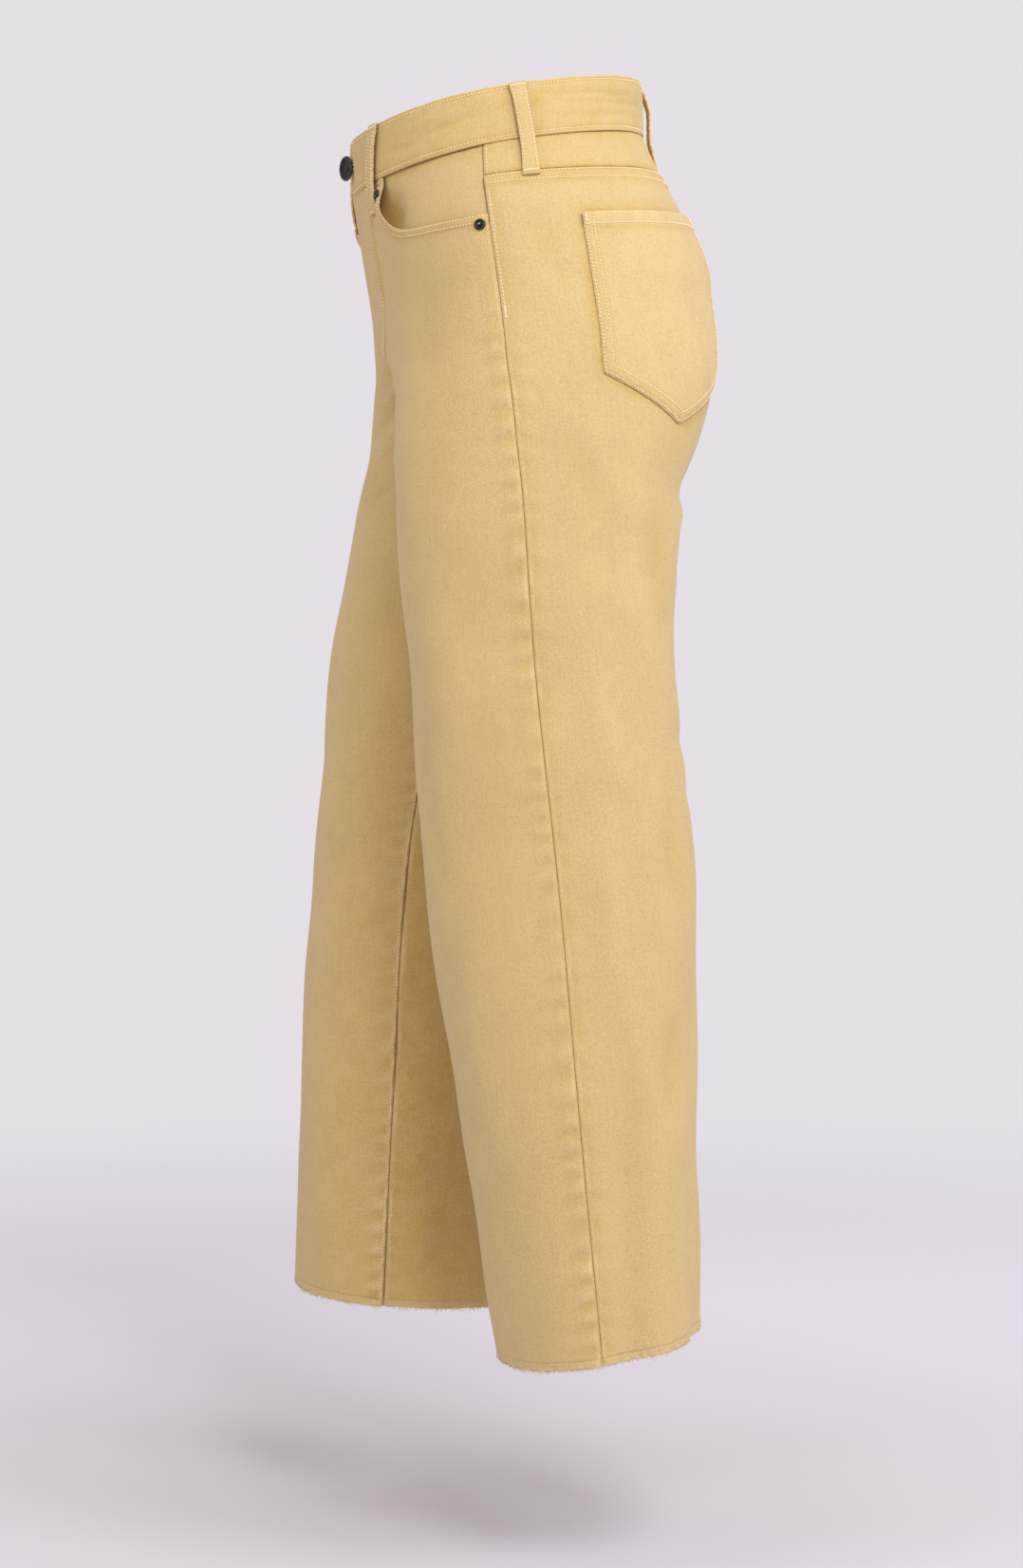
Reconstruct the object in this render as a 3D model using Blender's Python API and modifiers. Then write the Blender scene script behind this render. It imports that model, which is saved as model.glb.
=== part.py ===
"""Wide-leg cropped five-pocket jeans, kept in the hollow form they have when worn.

Frame: metres, +Z up, the front faces -Y, the garment's own left side is +X.
The origin is the middle of the waist opening, level with the top of the waistband at the sides.

Every piece of cloth is taken from one smooth surface. A place on it has three values:
  side   +1 for the left half and leg, -1 for the right
  drop   the distance below the top of the waistband, measured down the cloth
  share  0 at centre front or inseam, 1 at the side seam, 2 at centre back or inseam
Flat level sections, one row of a table each, give the outline. A wall is the surface
made solid towards the inside.
"""
import math

import bpy
import numpy as np
from mathutils import Vector

# ---------------------------------------------------------------- driving dimensions
CLOTH_WALL = 0.0012          # one layer of bull denim
BAND_WALL = 0.0024           # the waistband is folded double
LOOP_WALL = 0.0016
POCKET_WALL = 0.0012
SEAM_GAP = 0.0003            # between two pieces sewn edge to edge
LAID_GAP = 0.0005            # under a piece that lies on another
POCKET_GAP = 0.0008          # under a back pocket, which spans the seat's curve

BAND_DROP = 0.042            # depth of the waistband
YOKE_DROP_SIDE = 0.066       # lower seam of the yoke at the side seam
YOKE_DROP_BACK = 0.072       # and at centre back
FLY_DROP = 0.188             # lower end of the fly
CROTCH_DROP = 0.262
GUSSET_TOP = 0.190           # between these drops the crotch widens a half
GUSSET_END = 0.420
INNER_TAPER = 5              # how closely that width stays at the inner edge
HEM_DROP = 0.9280            # cut edge of the hems
FRAY_STRIP = 0.0040          # loosened edge above the cut
FRAY_REACH = 0.0040          # longest loose thread below it

FLY_LAP = 0.0050             # the left front laps over the right one by this much
BAND_LAP = 0.0180            # the waistband's left end reaches this far past centre front
LAP_STEP = 0.0018            # how far the right front steps in under the left
BAND_STEP = 0.0031           # how far the waistband's right end steps in

LOOP_WIDTH = 0.012
BUTTON_RADIUS = 0.0095
RIVET_RADIUS = 0.0045

# Flat sections. x_middle is 0 where the section goes round both halves and the middle of
# the leg below the crotch. y_wide is where the section is widest, y_side and y_inner place
# the side seam and the inseam, tilt lifts the back and dip lowers the front.
SECTION_COLUMNS = (
    "drop", "tilt", "dip", "x_middle", "x_out", "y_front", "y_wide", "y_back", "y_side",
    "y_inner")
HIP_SECTIONS = (
    (0.000, 0.15, 0.008, 0.000, 0.133, -0.113, -0.002, 0.107, -0.028, 0.000),
    (0.038, 0.15, 0.008, 0.000, 0.142, -0.111, -0.002, 0.108, -0.031, 0.000),
    (0.065, 0.13, 0.007, 0.000, 0.151, -0.108, 0.000, 0.119, -0.031, 0.000),
    (0.095, 0.10, 0.004, 0.000, 0.161, -0.104, 0.004, 0.136, -0.029, 0.000),
    (0.150, 0.06, 0.000, 0.006, 0.172, -0.095, 0.010, 0.159, -0.023, 0.000),
    (0.180, 0.04, 0.000, 0.032, 0.177, -0.091, 0.014, 0.158, -0.020, 0.000),
    (0.205, 0.03, 0.000, 0.060, 0.180, -0.088, 0.018, 0.154, -0.018, 0.000),
    (0.230, 0.01, 0.000, 0.080, 0.182, -0.088, 0.020, 0.147, -0.015, 0.000),
    (0.250, 0.00, 0.000, 0.0895, 0.1835, -0.089, 0.022, 0.140, -0.013, 0.022),
    (0.262, 0.00, 0.000, 0.0922, 0.184, -0.090, 0.022, 0.136, -0.012, 0.022),
)
LEFT_LEG_SECTIONS = (
    (0.300, 0.00, 0.000, 0.094, 0.186, -0.090, 0.024, 0.124, -0.008, 0.026),
    (0.420, 0.00, 0.000, 0.099, 0.190, -0.081, 0.030, 0.117, 0.000, 0.034),
    (0.600, 0.03, 0.000, 0.107, 0.198, -0.068, 0.040, 0.133, 0.018, 0.045),
    (0.780, 0.09, 0.000, 0.116, 0.208, -0.040, 0.050, 0.132, 0.033, 0.055),
    (0.928, 0.17, 0.000, 0.124, 0.218, -0.017, 0.058, 0.134, 0.046, 0.062),
)
RIGHT_LEG_SECTIONS = (
    (0.300, 0.00, 0.000, 0.0935, 0.184, -0.099, 0.016, 0.115, -0.012, 0.010),
    (0.420, 0.00, 0.000, 0.095, 0.184, -0.118, -0.006, 0.085, -0.028, -0.038),
    (0.600, 0.00, 0.000, 0.096, 0.184, -0.135, -0.030, 0.060, -0.045, -0.071),
    (0.780, -0.02, 0.000, 0.096, 0.186, -0.146, -0.045, 0.046, -0.058, -0.082),
    (0.928, -0.05, 0.000, 0.096, 0.190, -0.151, -0.052, 0.040, -0.064, -0.090),
)
ROUNDNESS = 2.25             # 2 is an ellipse, more is squarer

# The long soft flutes of the legs: place on the section in degrees (0 is the outer side,
# 90 the back, -90 the front), the drops where a flute starts and is full, its half width
# in degrees, and its depth (minus is a trough).
FLUTE_COLUMNS = ("side", "angle_top", "angle_hem", "drop_start", "drop_full", "spread", "depth")
FLUTES = (
    (+1, 11.0, 5.0, 0.56, 0.84, 8.0, -0.0045),
    (+1, 29.0, 23.0, 0.52, 0.84, 9.0, 0.0035),
    (+1, 66.0, 56.0, 0.60, 0.90, 9.0, -0.0050),
    (+1, -118.0, -108.0, 0.58, 0.88, 9.0, -0.0045),
    (+1, 150.0, 140.0, 0.50, 0.86, 9.0, -0.0050),
    (-1, 150.0, 142.0, 0.52, 0.84, 9.0, -0.0060),
    (-1, -172.0, -178.0, 0.56, 0.88, 8.0, 0.0030),
    (-1, 96.0, 88.0, 0.56, 0.88, 9.0, -0.0050),
    (-1, 20.0, 12.0, 0.58, 0.90, 8.0, -0.0050),
    (-1, -70.0, -64.0, 0.60, 0.90, 8.0, -0.0035),
)

# Upper edge of a front panel: the waist seam, then the scoop of the pocket opening.
SCOOP_COLUMNS = ("share", "drop")
SCOOP = (
    (0.00, 0.042),
    (0.46, 0.042),
    (0.47, 0.066),
    (0.50, 0.086),
    (0.57, 0.094),
    (1.00, 0.096),
)
# Back pocket: how far its two edges lie from the side seam along the cloth, at each drop.
POCKET_COLUMNS = ("drop", "from_side_near", "from_side_far")
POCKET_EDGES = (
    (0.102, 0.068, 0.222),
    (0.216, 0.071, 0.214),
)
POCKET_TIP_DROP = 0.250      # the point of the pocket's lower edge
# Belt loops: where each stands along the waist, and how far it stands off.
LOOP_COLUMNS = ("name", "side", "share_top", "share_end", "stand_off")
BELT_LOOPS = (
    ("belt_loop_front_left", +1, 0.400, 0.350, 0.0022),
    ("belt_loop_front_right", -1, 0.400, 0.350, 0.0022),
    ("belt_loop_side_left", +1, 1.105, 1.145, 0.0022),
    ("belt_loop_side_right", -1, 1.105, 1.145, 0.0022),
    ("belt_loop_back", +1, 2.000, 2.000, 0.0080),
)
LOOP_END_DROP = 0.071
# Rivets at the two corners of each pocket opening.
RIVET_COLUMNS = ("name", "share", "drop")
RIVETS = (
    ("front", 0.430, 0.057),
    ("side", 0.962, 0.1035),
)

# Rows and columns of the cloth grids.
HIP_ROWS = (0.120, 0.150, 0.180, 0.205, 0.226, 0.241, 0.251, 0.257, 0.2605, 0.262)
LEG_ROWS = (0.280, 0.320, 0.400, 0.480, 0.560, 0.640, 0.720, 0.800, 0.870)
FRONT_SHARES = (0.00, 0.02, 0.08, 0.16, 0.25, 0.34, 0.42, 0.46, 0.47, 0.50, 0.57,
                0.65, 0.73, 0.82, 0.90, 0.98, 1.00)
BACK_SHARES = (0.0, 0.02) + tuple(k / 16 for k in range(1, 16)) + (0.98, 1.0)
BAND_COLUMNS_PER_QUARTER = 13
STRANDS_PER_LEG = 80

# Colour, roughness and metallic value of each kind of surface.
FINISHES = {
    "mustard_denim": ((0.70, 0.51, 0.23), 0.88, 0.0),
    "frayed_yarn": ((0.76, 0.58, 0.30), 0.95, 0.0),
    "dark_gunmetal": ((0.035, 0.028, 0.024), 0.42, 0.9),
    "zip_tape": ((0.62, 0.46, 0.22), 0.85, 0.0),
    "zip_brass": ((0.42, 0.30, 0.14), 0.38, 0.9),
}


# ---------------------------------------------------------------- the surface of the cloth
def table(columns, rows):
    """A table as a dictionary of columns."""
    return {name: np.array([row[k] for row in rows]) for k, name in enumerate(columns)}


def smooth_read(value, places, amounts):
    """Read a column between its rows by a curve that never overshoots them."""
    steps = np.diff(places)
    slopes = np.diff(amounts) / steps
    lean = np.zeros(len(places))
    lean[0] = slopes[0]
    lean[-1] = slopes[-1]
    for k in range(1, len(places) - 1):
        if slopes[k - 1] * slopes[k] > 0:
            lean[k] = 2.0 / (1.0 / slopes[k - 1] + 1.0 / slopes[k])
    k = int(np.clip(np.searchsorted(places, value) - 1, 0, len(steps) - 1))
    t = (value - places[k]) / steps[k]
    start = amounts[k] * (1 + 2 * t) * (1 - t) ** 2 + lean[k] * steps[k] * t * (1 - t) ** 2
    end = amounts[k + 1] * t * t * (3 - 2 * t) + lean[k + 1] * steps[k] * t * t * (t - 1)
    return float(start + end)


SECTIONS = {
    +1: table(SECTION_COLUMNS, HIP_SECTIONS + LEFT_LEG_SECTIONS),
    -1: table(SECTION_COLUMNS, HIP_SECTIONS + RIGHT_LEG_SECTIONS),
}


def section(side, drop):
    """The sizes of the flat section at a drop."""
    sizes = SECTIONS[side]
    return {name: smooth_read(drop, sizes["drop"], sizes[name]) for name in SECTION_COLUMNS[1:]}


def ease(t):
    """0 to 1 with soft ends."""
    t = min(max(t, 0.0), 1.0)
    return t * t * (3 - 2 * t)


def angle_at_y(sizes, y):
    """The angle on the outer side of a section at which it passes y."""
    reach = sizes["y_back"] - sizes["y_wide"]
    if y < sizes["y_wide"]:
        reach = sizes["y_wide"] - sizes["y_front"]
    part = (y - sizes["y_wide"]) / reach
    return math.copysign(math.asin(min(1.0, abs(part) ** (ROUNDNESS / 2))), part)


def seam_angles(sizes, drop):
    """Angles of the front edge, the side seam and the back edge of one half."""
    side_seam = angle_at_y(sizes, sizes["y_side"])
    if drop >= CROTCH_DROP:
        inner = angle_at_y(sizes, sizes["y_inner"])
        return -math.pi - inner, side_seam, math.pi - inner
    half = sizes["x_out"] - sizes["x_middle"]
    edge = math.pi - math.acos(min(1.0, (sizes["x_middle"] / half) ** (ROUNDNESS / 2)))
    return -edge, side_seam, edge


def flute_height(side, drop, angle):
    """How far the flutes of the leg lift the cloth."""
    height = np.zeros_like(angle)
    for row in FLUTES:
        flute = dict(zip(FLUTE_COLUMNS, row))
        if flute["side"] != side:
            continue
        grown = ease((drop - flute["drop_start"]) / (flute["drop_full"] - flute["drop_start"]))
        along = ease((drop - flute["drop_start"]) / (HEM_DROP - flute["drop_start"]))
        middle = flute["angle_top"] + (flute["angle_hem"] - flute["angle_top"]) * along
        away = (np.degrees(angle) - middle + 180.0) % 360.0 - 180.0
        height += flute["depth"] * grown * np.exp(-(away / flute["spread"]) ** 2)
    return height


def section_points(side, drop, angle):
    """Points of the surface at the given angles of one section."""
    sizes = section(side, drop)
    middle = sizes["x_middle"]
    half = sizes["x_out"] - middle
    c = np.cos(angle)
    s = np.sin(angle)
    reach = np.where(s < 0, sizes["y_wide"] - sizes["y_front"], sizes["y_back"] - sizes["y_wide"])
    lift = flute_height(side, drop, angle)
    x = middle + half * np.sign(c) * np.abs(c) ** (2 / ROUNDNESS) + lift * c
    y = sizes["y_wide"] + reach * np.sign(s) * np.abs(s) ** (2 / ROUNDNESS) + lift * s
    pivot = sizes["y_wide"] if drop > CROTCH_DROP else 0.0
    lean = sizes["tilt"] * (y - pivot) - sizes["dip"] * (np.minimum(y, 0.0) / 0.1) ** 2
    if drop < CROTCH_DROP:
        x = np.maximum(x, SEAM_GAP / 2)
    return np.stack([side * x, y, lean - drop], axis=-1)


class Section:
    """One section with its lengths along the cloth, kept for reading by share."""

    SAMPLES = 160
    kept = {}

    def __init__(self, side, drop):
        self.side = side
        self.drop = drop
        front, seam, back = seam_angles(section(side, drop), drop)
        halves = [np.linspace(front, seam, self.SAMPLES), np.linspace(seam, back, self.SAMPLES)]
        self.points = [section_points(side, drop, angles) for angles in halves]
        self.lengths = []
        for points in self.points:
            steps = np.linalg.norm(np.diff(points, axis=0), axis=1)
            self.lengths.append(np.concatenate([[0.0], np.cumsum(steps)]))
        self.front = self.lengths[0][-1]
        self.back = self.lengths[1][-1]

    def at(self, share):
        """The point at a share of this section.

        Round the crotch a half grows and shrinks fast at its inner edge. Only the columns
        near that edge take this up, so that the others run straight down the leg.
        """
        half = 0 if share <= 1 else 1
        lengths = self.lengths[half]
        from_side = abs(share - 1)
        steady = self.steady_width(half)
        distance = steady * from_side + (lengths[-1] - steady) * from_side ** INNER_TAPER
        length = lengths[-1] - distance if half == 0 else distance
        points = self.points[half]
        return np.array([np.interp(length, lengths, points[:, k]) for k in range(3)])

    def steady_width(self, half):
        """Width that a half would have here without the crotch."""
        width = self.lengths[half][-1]
        if not GUSSET_TOP < self.drop < GUSSET_END:
            return width
        above = Section.of(self.side, GUSSET_TOP).lengths[half][-1]
        below = Section.of(self.side, GUSSET_END).lengths[half][-1]
        return above + (below - above) * ease((self.drop - GUSSET_TOP) / (GUSSET_END - GUSSET_TOP))

    @classmethod
    def of(cls, side, drop):
        key = (side, round(drop, 6))
        if key not in cls.kept:
            cls.kept[key] = cls(side, drop)
        return cls.kept[key]


def cloth_point(side, drop, share):
    """A point of the surface. A share below 0 or above 2 is on the other half."""
    if share < 0:
        return Section.of(-side, drop).at(-share)
    if share > 2:
        return Section.of(-side, drop).at(4 - share)
    return Section.of(side, drop).at(share)


def cloth_frame(side, drop, share):
    """A point with the directions across, down and out of the cloth."""
    step_share = 0.02
    step_drop = 0.004
    point = cloth_point(side, drop, share)
    across = cloth_point(side, drop, share + step_share) - cloth_point(side, drop, share - step_share)
    upper = max(drop - step_drop, 0.0)
    down = cloth_point(side, drop + step_drop, share) - cloth_point(side, upper, share)
    across /= np.linalg.norm(across)
    down /= np.linalg.norm(down)
    out = np.cross(across, down) * -side
    return point, across, down, out / np.linalg.norm(out)


def raised(side, drop, share, lift):
    """A point of the cloth moved out by lift, or in where lift is negative."""
    if lift == 0.0:
        return cloth_point(side, drop, share)
    point, _, _, out = cloth_frame(side, drop, share)
    return point + lift * out


def share_from_side(side, drop, distance):
    """The share of a place behind the side seam, at a distance along the cloth."""
    return 1 + distance / Section.of(side, drop).back


# ---------------------------------------------------------------- making objects
for old in list(bpy.data.objects):
    bpy.data.objects.remove(old, do_unlink=True)
garment = bpy.data.collections.new("jeans")
bpy.context.scene.collection.children.link(garment)


def finish(name):
    """The Principled material of a kind of surface."""
    material = bpy.data.materials.get(name)
    if material is None:
        colour, roughness, metallic = FINISHES[name]
        material = bpy.data.materials.new(name)
        material.use_nodes = True
        shader = material.node_tree.nodes["Principled BSDF"]
        shader.inputs["Base Color"].default_value = (*colour, 1.0)
        shader.inputs["Roughness"].default_value = roughness
        shader.inputs["Metallic"].default_value = metallic
        material.diffuse_color = (*colour, 1.0)
    return material


def add_object(name, vertices, faces, material):
    """A named object of the garment from vertices and faces."""
    mesh = bpy.data.meshes.new(name)
    mesh.from_pydata([tuple(v) for v in vertices], [], faces)
    mesh.materials.append(finish(material))
    mesh.shade_smooth()
    mesh.set_sharp_from_angle(angle=math.radians(40))
    thing = bpy.data.objects.new(name, mesh)
    garment.objects.link(thing)
    return thing


def cloth_wall(name, grid, outward, wall, material="mustard_denim", closed=False):
    """A wall from a grid of outer points, made solid inwards.

    Rows run down and columns across. outward says which way a face's normal points:
    +1 where down x across points out.
    """
    rows, columns = len(grid), len(grid[0])
    vertices = [point for row in grid for point in row]
    faces = []
    last = columns if closed else columns - 1
    for i in range(rows - 1):
        for j in range(last):
            k = (j + 1) % columns
            face = (i * columns + j, (i + 1) * columns + j, (i + 1) * columns + k, i * columns + k)
            faces.append(face if outward > 0 else face[::-1])
    thing = add_object(name, vertices, faces, material)
    solid = thing.modifiers.new("wall", "SOLIDIFY")
    solid.thickness = wall
    solid.offset = -1.0
    solid.use_even_offset = False
    return thing


def turned(name, profile, segments, place, out, material):
    """A turned piece: a profile of (radius, height) from the top middle to the base middle."""
    mesh = bpy.data.meshes.new(name)
    points = [(radius, 0.0, height) for radius, height in profile]
    mesh.from_pydata(points, [(k, k + 1) for k in range(len(points) - 1)], [])
    mesh.materials.append(finish(material))
    thing = bpy.data.objects.new(name, mesh)
    garment.objects.link(thing)
    spin = thing.modifiers.new("turn", "SCREW")
    spin.axis = "Z"
    spin.angle = math.tau
    spin.screw_offset = 0.0
    spin.steps = segments
    spin.render_steps = segments
    spin.use_merge_vertices = True
    spin.merge_threshold = 0.0001
    spin.use_smooth_shade = True
    thing.rotation_mode = "QUATERNION"
    thing.rotation_quaternion = Vector((0, 0, 1)).rotation_difference(Vector(out))
    thing.location = place
    return thing


# ---------------------------------------------------------------- panels
def left_front_lap(drop, share):
    """How far the left front's edge reaches past centre front, over the fly opening."""
    beside_fly = 1.0 - ease((drop - FLY_DROP + 0.035) / 0.030)
    return FLY_LAP * beside_fly * (1.0 - ease(share / 0.12))


def right_front_step(drop, share):
    """How far the right front steps in to lie under the left one."""
    beside_fly = 1.0 - ease((drop - FLY_DROP) / 0.030)
    return -LAP_STEP * beside_fly * (1.0 - ease((share - 0.07) / 0.14))


def front_panel(side):
    """Front of one half with its leg, from the waist seam and scoop to the hem."""
    scoop = table(SCOOP_COLUMNS, SCOOP)
    grid = []
    upper_steps = (0.0, 0.4, 0.75)
    lower = HIP_ROWS + LEG_ROWS + (HEM_DROP - FRAY_STRIP - SEAM_GAP,)
    for row in range(len(upper_steps) + len(lower)):
        line = []
        for share in FRONT_SHARES:
            top = float(np.interp(share, scoop["share"], scoop["drop"])) + SEAM_GAP
            if row < len(upper_steps):
                drop = top + (HIP_ROWS[0] - top) * upper_steps[row]
            else:
                drop = lower[row - len(upper_steps)]
            edge = SEAM_GAP / 2 / Section.of(side, drop).front
            place = edge + share * (1 - 2 * edge)
            if side > 0:
                place -= left_front_lap(drop, share) / Section.of(side, drop).front
                line.append(cloth_point(side, drop, place))
            else:
                line.append(raised(side, drop, place, right_front_step(drop, share)))
        grid.append(line)
    name = "front_panel_left" if side > 0 else "front_panel_right"
    return cloth_wall(name, grid, side, CLOTH_WALL)


def yoke_drop(share):
    """Drop of the yoke's lower seam."""
    return YOKE_DROP_SIDE + (YOKE_DROP_BACK - YOKE_DROP_SIDE) * (share - 1)


def back_share(side, drop, column):
    """Share of a column of the back, the edges a seam gap clear of their neighbours."""
    edge = SEAM_GAP / 2 / Section.of(side, drop).back
    return 1 + edge + BACK_SHARES[column] * (1 - 2 * edge)


def back_panel(side):
    """Back of one half with its leg, from the yoke to the hem."""
    grid = []
    upper_steps = (0.0, 0.5)
    lower = HIP_ROWS + LEG_ROWS + (HEM_DROP - FRAY_STRIP - SEAM_GAP,)
    for row in range(len(upper_steps) + len(lower)):
        line = []
        for column, share in enumerate(BACK_SHARES):
            top = yoke_drop(1 + share) + SEAM_GAP
            if row < len(upper_steps):
                drop = top + (HIP_ROWS[0] - top) * upper_steps[row]
            else:
                drop = lower[row - len(upper_steps)]
            line.append(cloth_point(side, drop, back_share(side, drop, column)))
        grid.append(line)
    name = "back_panel_left" if side > 0 else "back_panel_right"
    return cloth_wall(name, grid, side, CLOTH_WALL)


def yoke(side):
    """Shaped piece between the waistband and the back."""
    grid = []
    for step in (0.0, 0.5, 1.0):
        line = []
        for column, share in enumerate(BACK_SHARES):
            top = BAND_DROP + SEAM_GAP
            drop = top + (yoke_drop(1 + share) - top) * step
            line.append(cloth_point(side, drop, back_share(side, drop, column)))
        grid.append(line)
    name = "yoke_left" if side > 0 else "yoke_right"
    return cloth_wall(name, grid, side, CLOTH_WALL)


def pocket_facing(side):
    """Cloth that shows inside the front pocket opening, behind the front panel."""
    inset = -(CLOTH_WALL + LAID_GAP)
    shares = (0.37, 0.43, 0.50, 0.57, 0.65, 0.73, 0.82, 0.91, 0.985)
    drops = (BAND_DROP + SEAM_GAP, 0.066, 0.090, 0.116)
    grid = [[raised(side, drop, share, inset) for share in shares] for drop in drops]
    name = "pocket_facing_left" if side > 0 else "pocket_facing_right"
    return cloth_wall(name, grid, side, CLOTH_WALL)


def waistband():
    """One band round the waist. Its left end laps over its right end at the button."""
    quarter = BAND_COLUMNS_PER_QUARTER
    lap = BAND_LAP / Section.of(1, 0.0).front
    places = [(-lap * (1 - k / 2), 0.0) for k in range(2)]
    places += [(k / quarter, 0.0) for k in range(3 * quarter)]
    for k in range(quarter + 1):
        share = 3 + k / quarter
        places.append((share, -BAND_STEP * ease((share - 3.55) / 0.33)))
    places += [(4 + lap * k / 2, -BAND_STEP) for k in (1, 2)]
    grid = []
    for drop in (0.0, BAND_DROP / 2, BAND_DROP):
        line = []
        for share, lift in places:
            side, local = (1, share)
            if share > 2:
                side, local = (-1, 4 - share)
            line.append(raised(side, drop, local, lift + LAID_GAP))
        grid.append(line)
    return cloth_wall("waistband", grid, 1, BAND_WALL)


def back_pocket(side):
    """Patch pocket with a pointed lower edge."""
    edges = table(POCKET_COLUMNS, POCKET_EDGES)
    top, corner = edges["drop"]
    columns, rows = 12, 8
    grid = []
    for i in range(rows + 1):
        line = []
        for j in range(columns + 1):
            across = j / columns
            lowest = corner + (POCKET_TIP_DROP - corner) * (1 - abs(2 * across - 1))
            drop = top + (lowest - top) * i / rows
            level = min(drop, corner)
            near = np.interp(level, edges["drop"], edges["from_side_near"])
            far = np.interp(level, edges["drop"], edges["from_side_far"])
            share = share_from_side(side, drop, near + (far - near) * across)
            line.append(raised(side, drop, share, POCKET_GAP + POCKET_WALL))
        grid.append(line)
    name = "back_pocket_left" if side > 0 else "back_pocket_right"
    return cloth_wall(name, grid, side, POCKET_WALL)


def belt_loop(loop):
    """Strip from the top of the waistband to just below it, standing off in the middle."""
    side = loop["side"]
    seat = LAID_GAP * 2 + LOOP_WALL
    ride = ((0.001, 0.0), (0.006, 0.6), (0.020, 1.0), (0.045, 0.9), (0.062, 0.5),
            (LOOP_END_DROP - 0.004, 0.0), (LOOP_END_DROP, 0.0))
    grid = []
    for drop, stand in ride:
        share = loop["share_top"] + (loop["share_end"] - loop["share_top"]) * drop / LOOP_END_DROP
        half = 0 if share <= 1 else 1
        length = Section.of(side, drop).lengths[half][-1]
        line = []
        for across in (-0.5, 0.0, 0.5):
            place = share + across * LOOP_WIDTH / length
            line.append(raised(side, drop, place, seat + stand * loop["stand_off"]))
        grid.append(line)
    return cloth_wall(loop["name"], grid, side, LOOP_WALL)


def frayed_hem(side):
    """Loosened edge of the hem: a narrow strip whose threads hang as fine points."""
    count = STRANDS_PER_LEG
    grid = [[], []]
    for k in range(2 * count):
        share = 2.0 * k / (2 * count)
        uneven = 0.55 + 0.25 * math.sin(2.1 * k) + 0.20 * math.sin(0.73 * k + 1.0)
        reach = FRAY_REACH * max(uneven, 0.15) if k % 2 else 0.0
        grid[0].append(cloth_point(side, HEM_DROP - FRAY_STRIP, share))
        low = cloth_point(side, HEM_DROP, share)
        grid[1].append(low - np.array([0.0, 0.0, reach]))
    name = "frayed_hem_left" if side > 0 else "frayed_hem_right"
    return cloth_wall(name, grid, side, CLOTH_WALL, "frayed_yarn", closed=True)


# ---------------------------------------------------------------- fastenings
def button():
    """Shank button on the waistband's left end, over centre front."""
    radius = BUTTON_RADIUS
    profile = ((0.0, 0.0046), (0.0030, 0.0046), (0.0042, 0.0040), (0.0062, 0.0040),
               (0.0078, 0.0048), (0.0091, 0.0046), (radius, 0.0038), (0.0090, 0.0028),
               (0.0032, 0.0026), (0.0028, 0.0), (0.0, 0.0))
    point, _, _, out = cloth_frame(1, BAND_DROP / 2, 0.0)
    return turned("button", profile, 18, point + out * LAID_GAP * 2, out, "dark_gunmetal")


def rivet(side, row):
    """Domed rivet with a nub, through a corner of a front pocket opening."""
    radius = RIVET_RADIUS
    profile = ((0.0, 0.0020), (0.0012, 0.0018), (0.0016, 0.0012), (0.0030, 0.0014),
               (0.0042, 0.0009), (radius, 0.0), (0.0, 0.0))
    half = "left" if side > 0 else "right"
    point, _, _, out = cloth_frame(side, row["drop"], row["share"])
    return turned(f"rivet_{row['name']}_{half}", profile, 14, point + out * LAID_GAP, out,
                  "dark_gunmetal")


def zip_strip(name, half_width, drop_top, inset, wall, material):
    """A strip behind the fly opening, centred on centre front."""
    grid = []
    for drop in np.linspace(drop_top, FLY_DROP - 0.016, 8):
        width = half_width / Section.of(1, drop).front
        grid.append([raised(1, drop, share, inset) for share in (-width, 0.0, width)])
    return cloth_wall(name, grid, 1, wall, material)


def zip_fastener():
    """Closed zip behind the fly: tape, chain and slider."""
    tape_inset = -(LAP_STEP + CLOTH_WALL + LAID_GAP)
    tape_wall = 0.0008
    chain_inset = tape_inset - tape_wall - SEAM_GAP
    chain_wall = 0.0016
    zip_strip("zip_tape", 0.0110, BAND_DROP + 0.003, tape_inset, tape_wall, "zip_tape")
    zip_strip("zip_chain", 0.0024, BAND_DROP + 0.020, chain_inset, chain_wall, "zip_brass")
    point, across, down, out = cloth_frame(1, BAND_DROP + 0.012, 0.0)
    profile = ((0.0, 0.0030), (0.0034, 0.0030), (0.0042, 0.0022), (0.0042, 0.0), (0.0, 0.0))
    turned("zip_slider", profile, 12, point + out * (chain_inset), -out, "zip_brass")


# ---------------------------------------------------------------- the garment
waistband()
for half_side in (+1, -1):
    front_panel(half_side)
    back_panel(half_side)
    yoke(half_side)
    pocket_facing(half_side)
    back_pocket(half_side)
    frayed_hem(half_side)
    for rivet_row in RIVETS:
        rivet(half_side, dict(zip(RIVET_COLUMNS, rivet_row)))
for loop_row in BELT_LOOPS:
    belt_loop(dict(zip(LOOP_COLUMNS, loop_row)))
button()
zip_fastener()
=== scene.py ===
# %% [markdown]
# # Wide-leg cropped jeans in pale mustard denim
# A plain solid model already gives these jeans their size, their pose and their weight. This
# lesson lays real-looking cloth over it: fine panels with creases, pressed seams, rows of
# stitches, metal fastenings and frayed hems. Each cell makes one thing and says why it is made
# that way.

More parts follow.
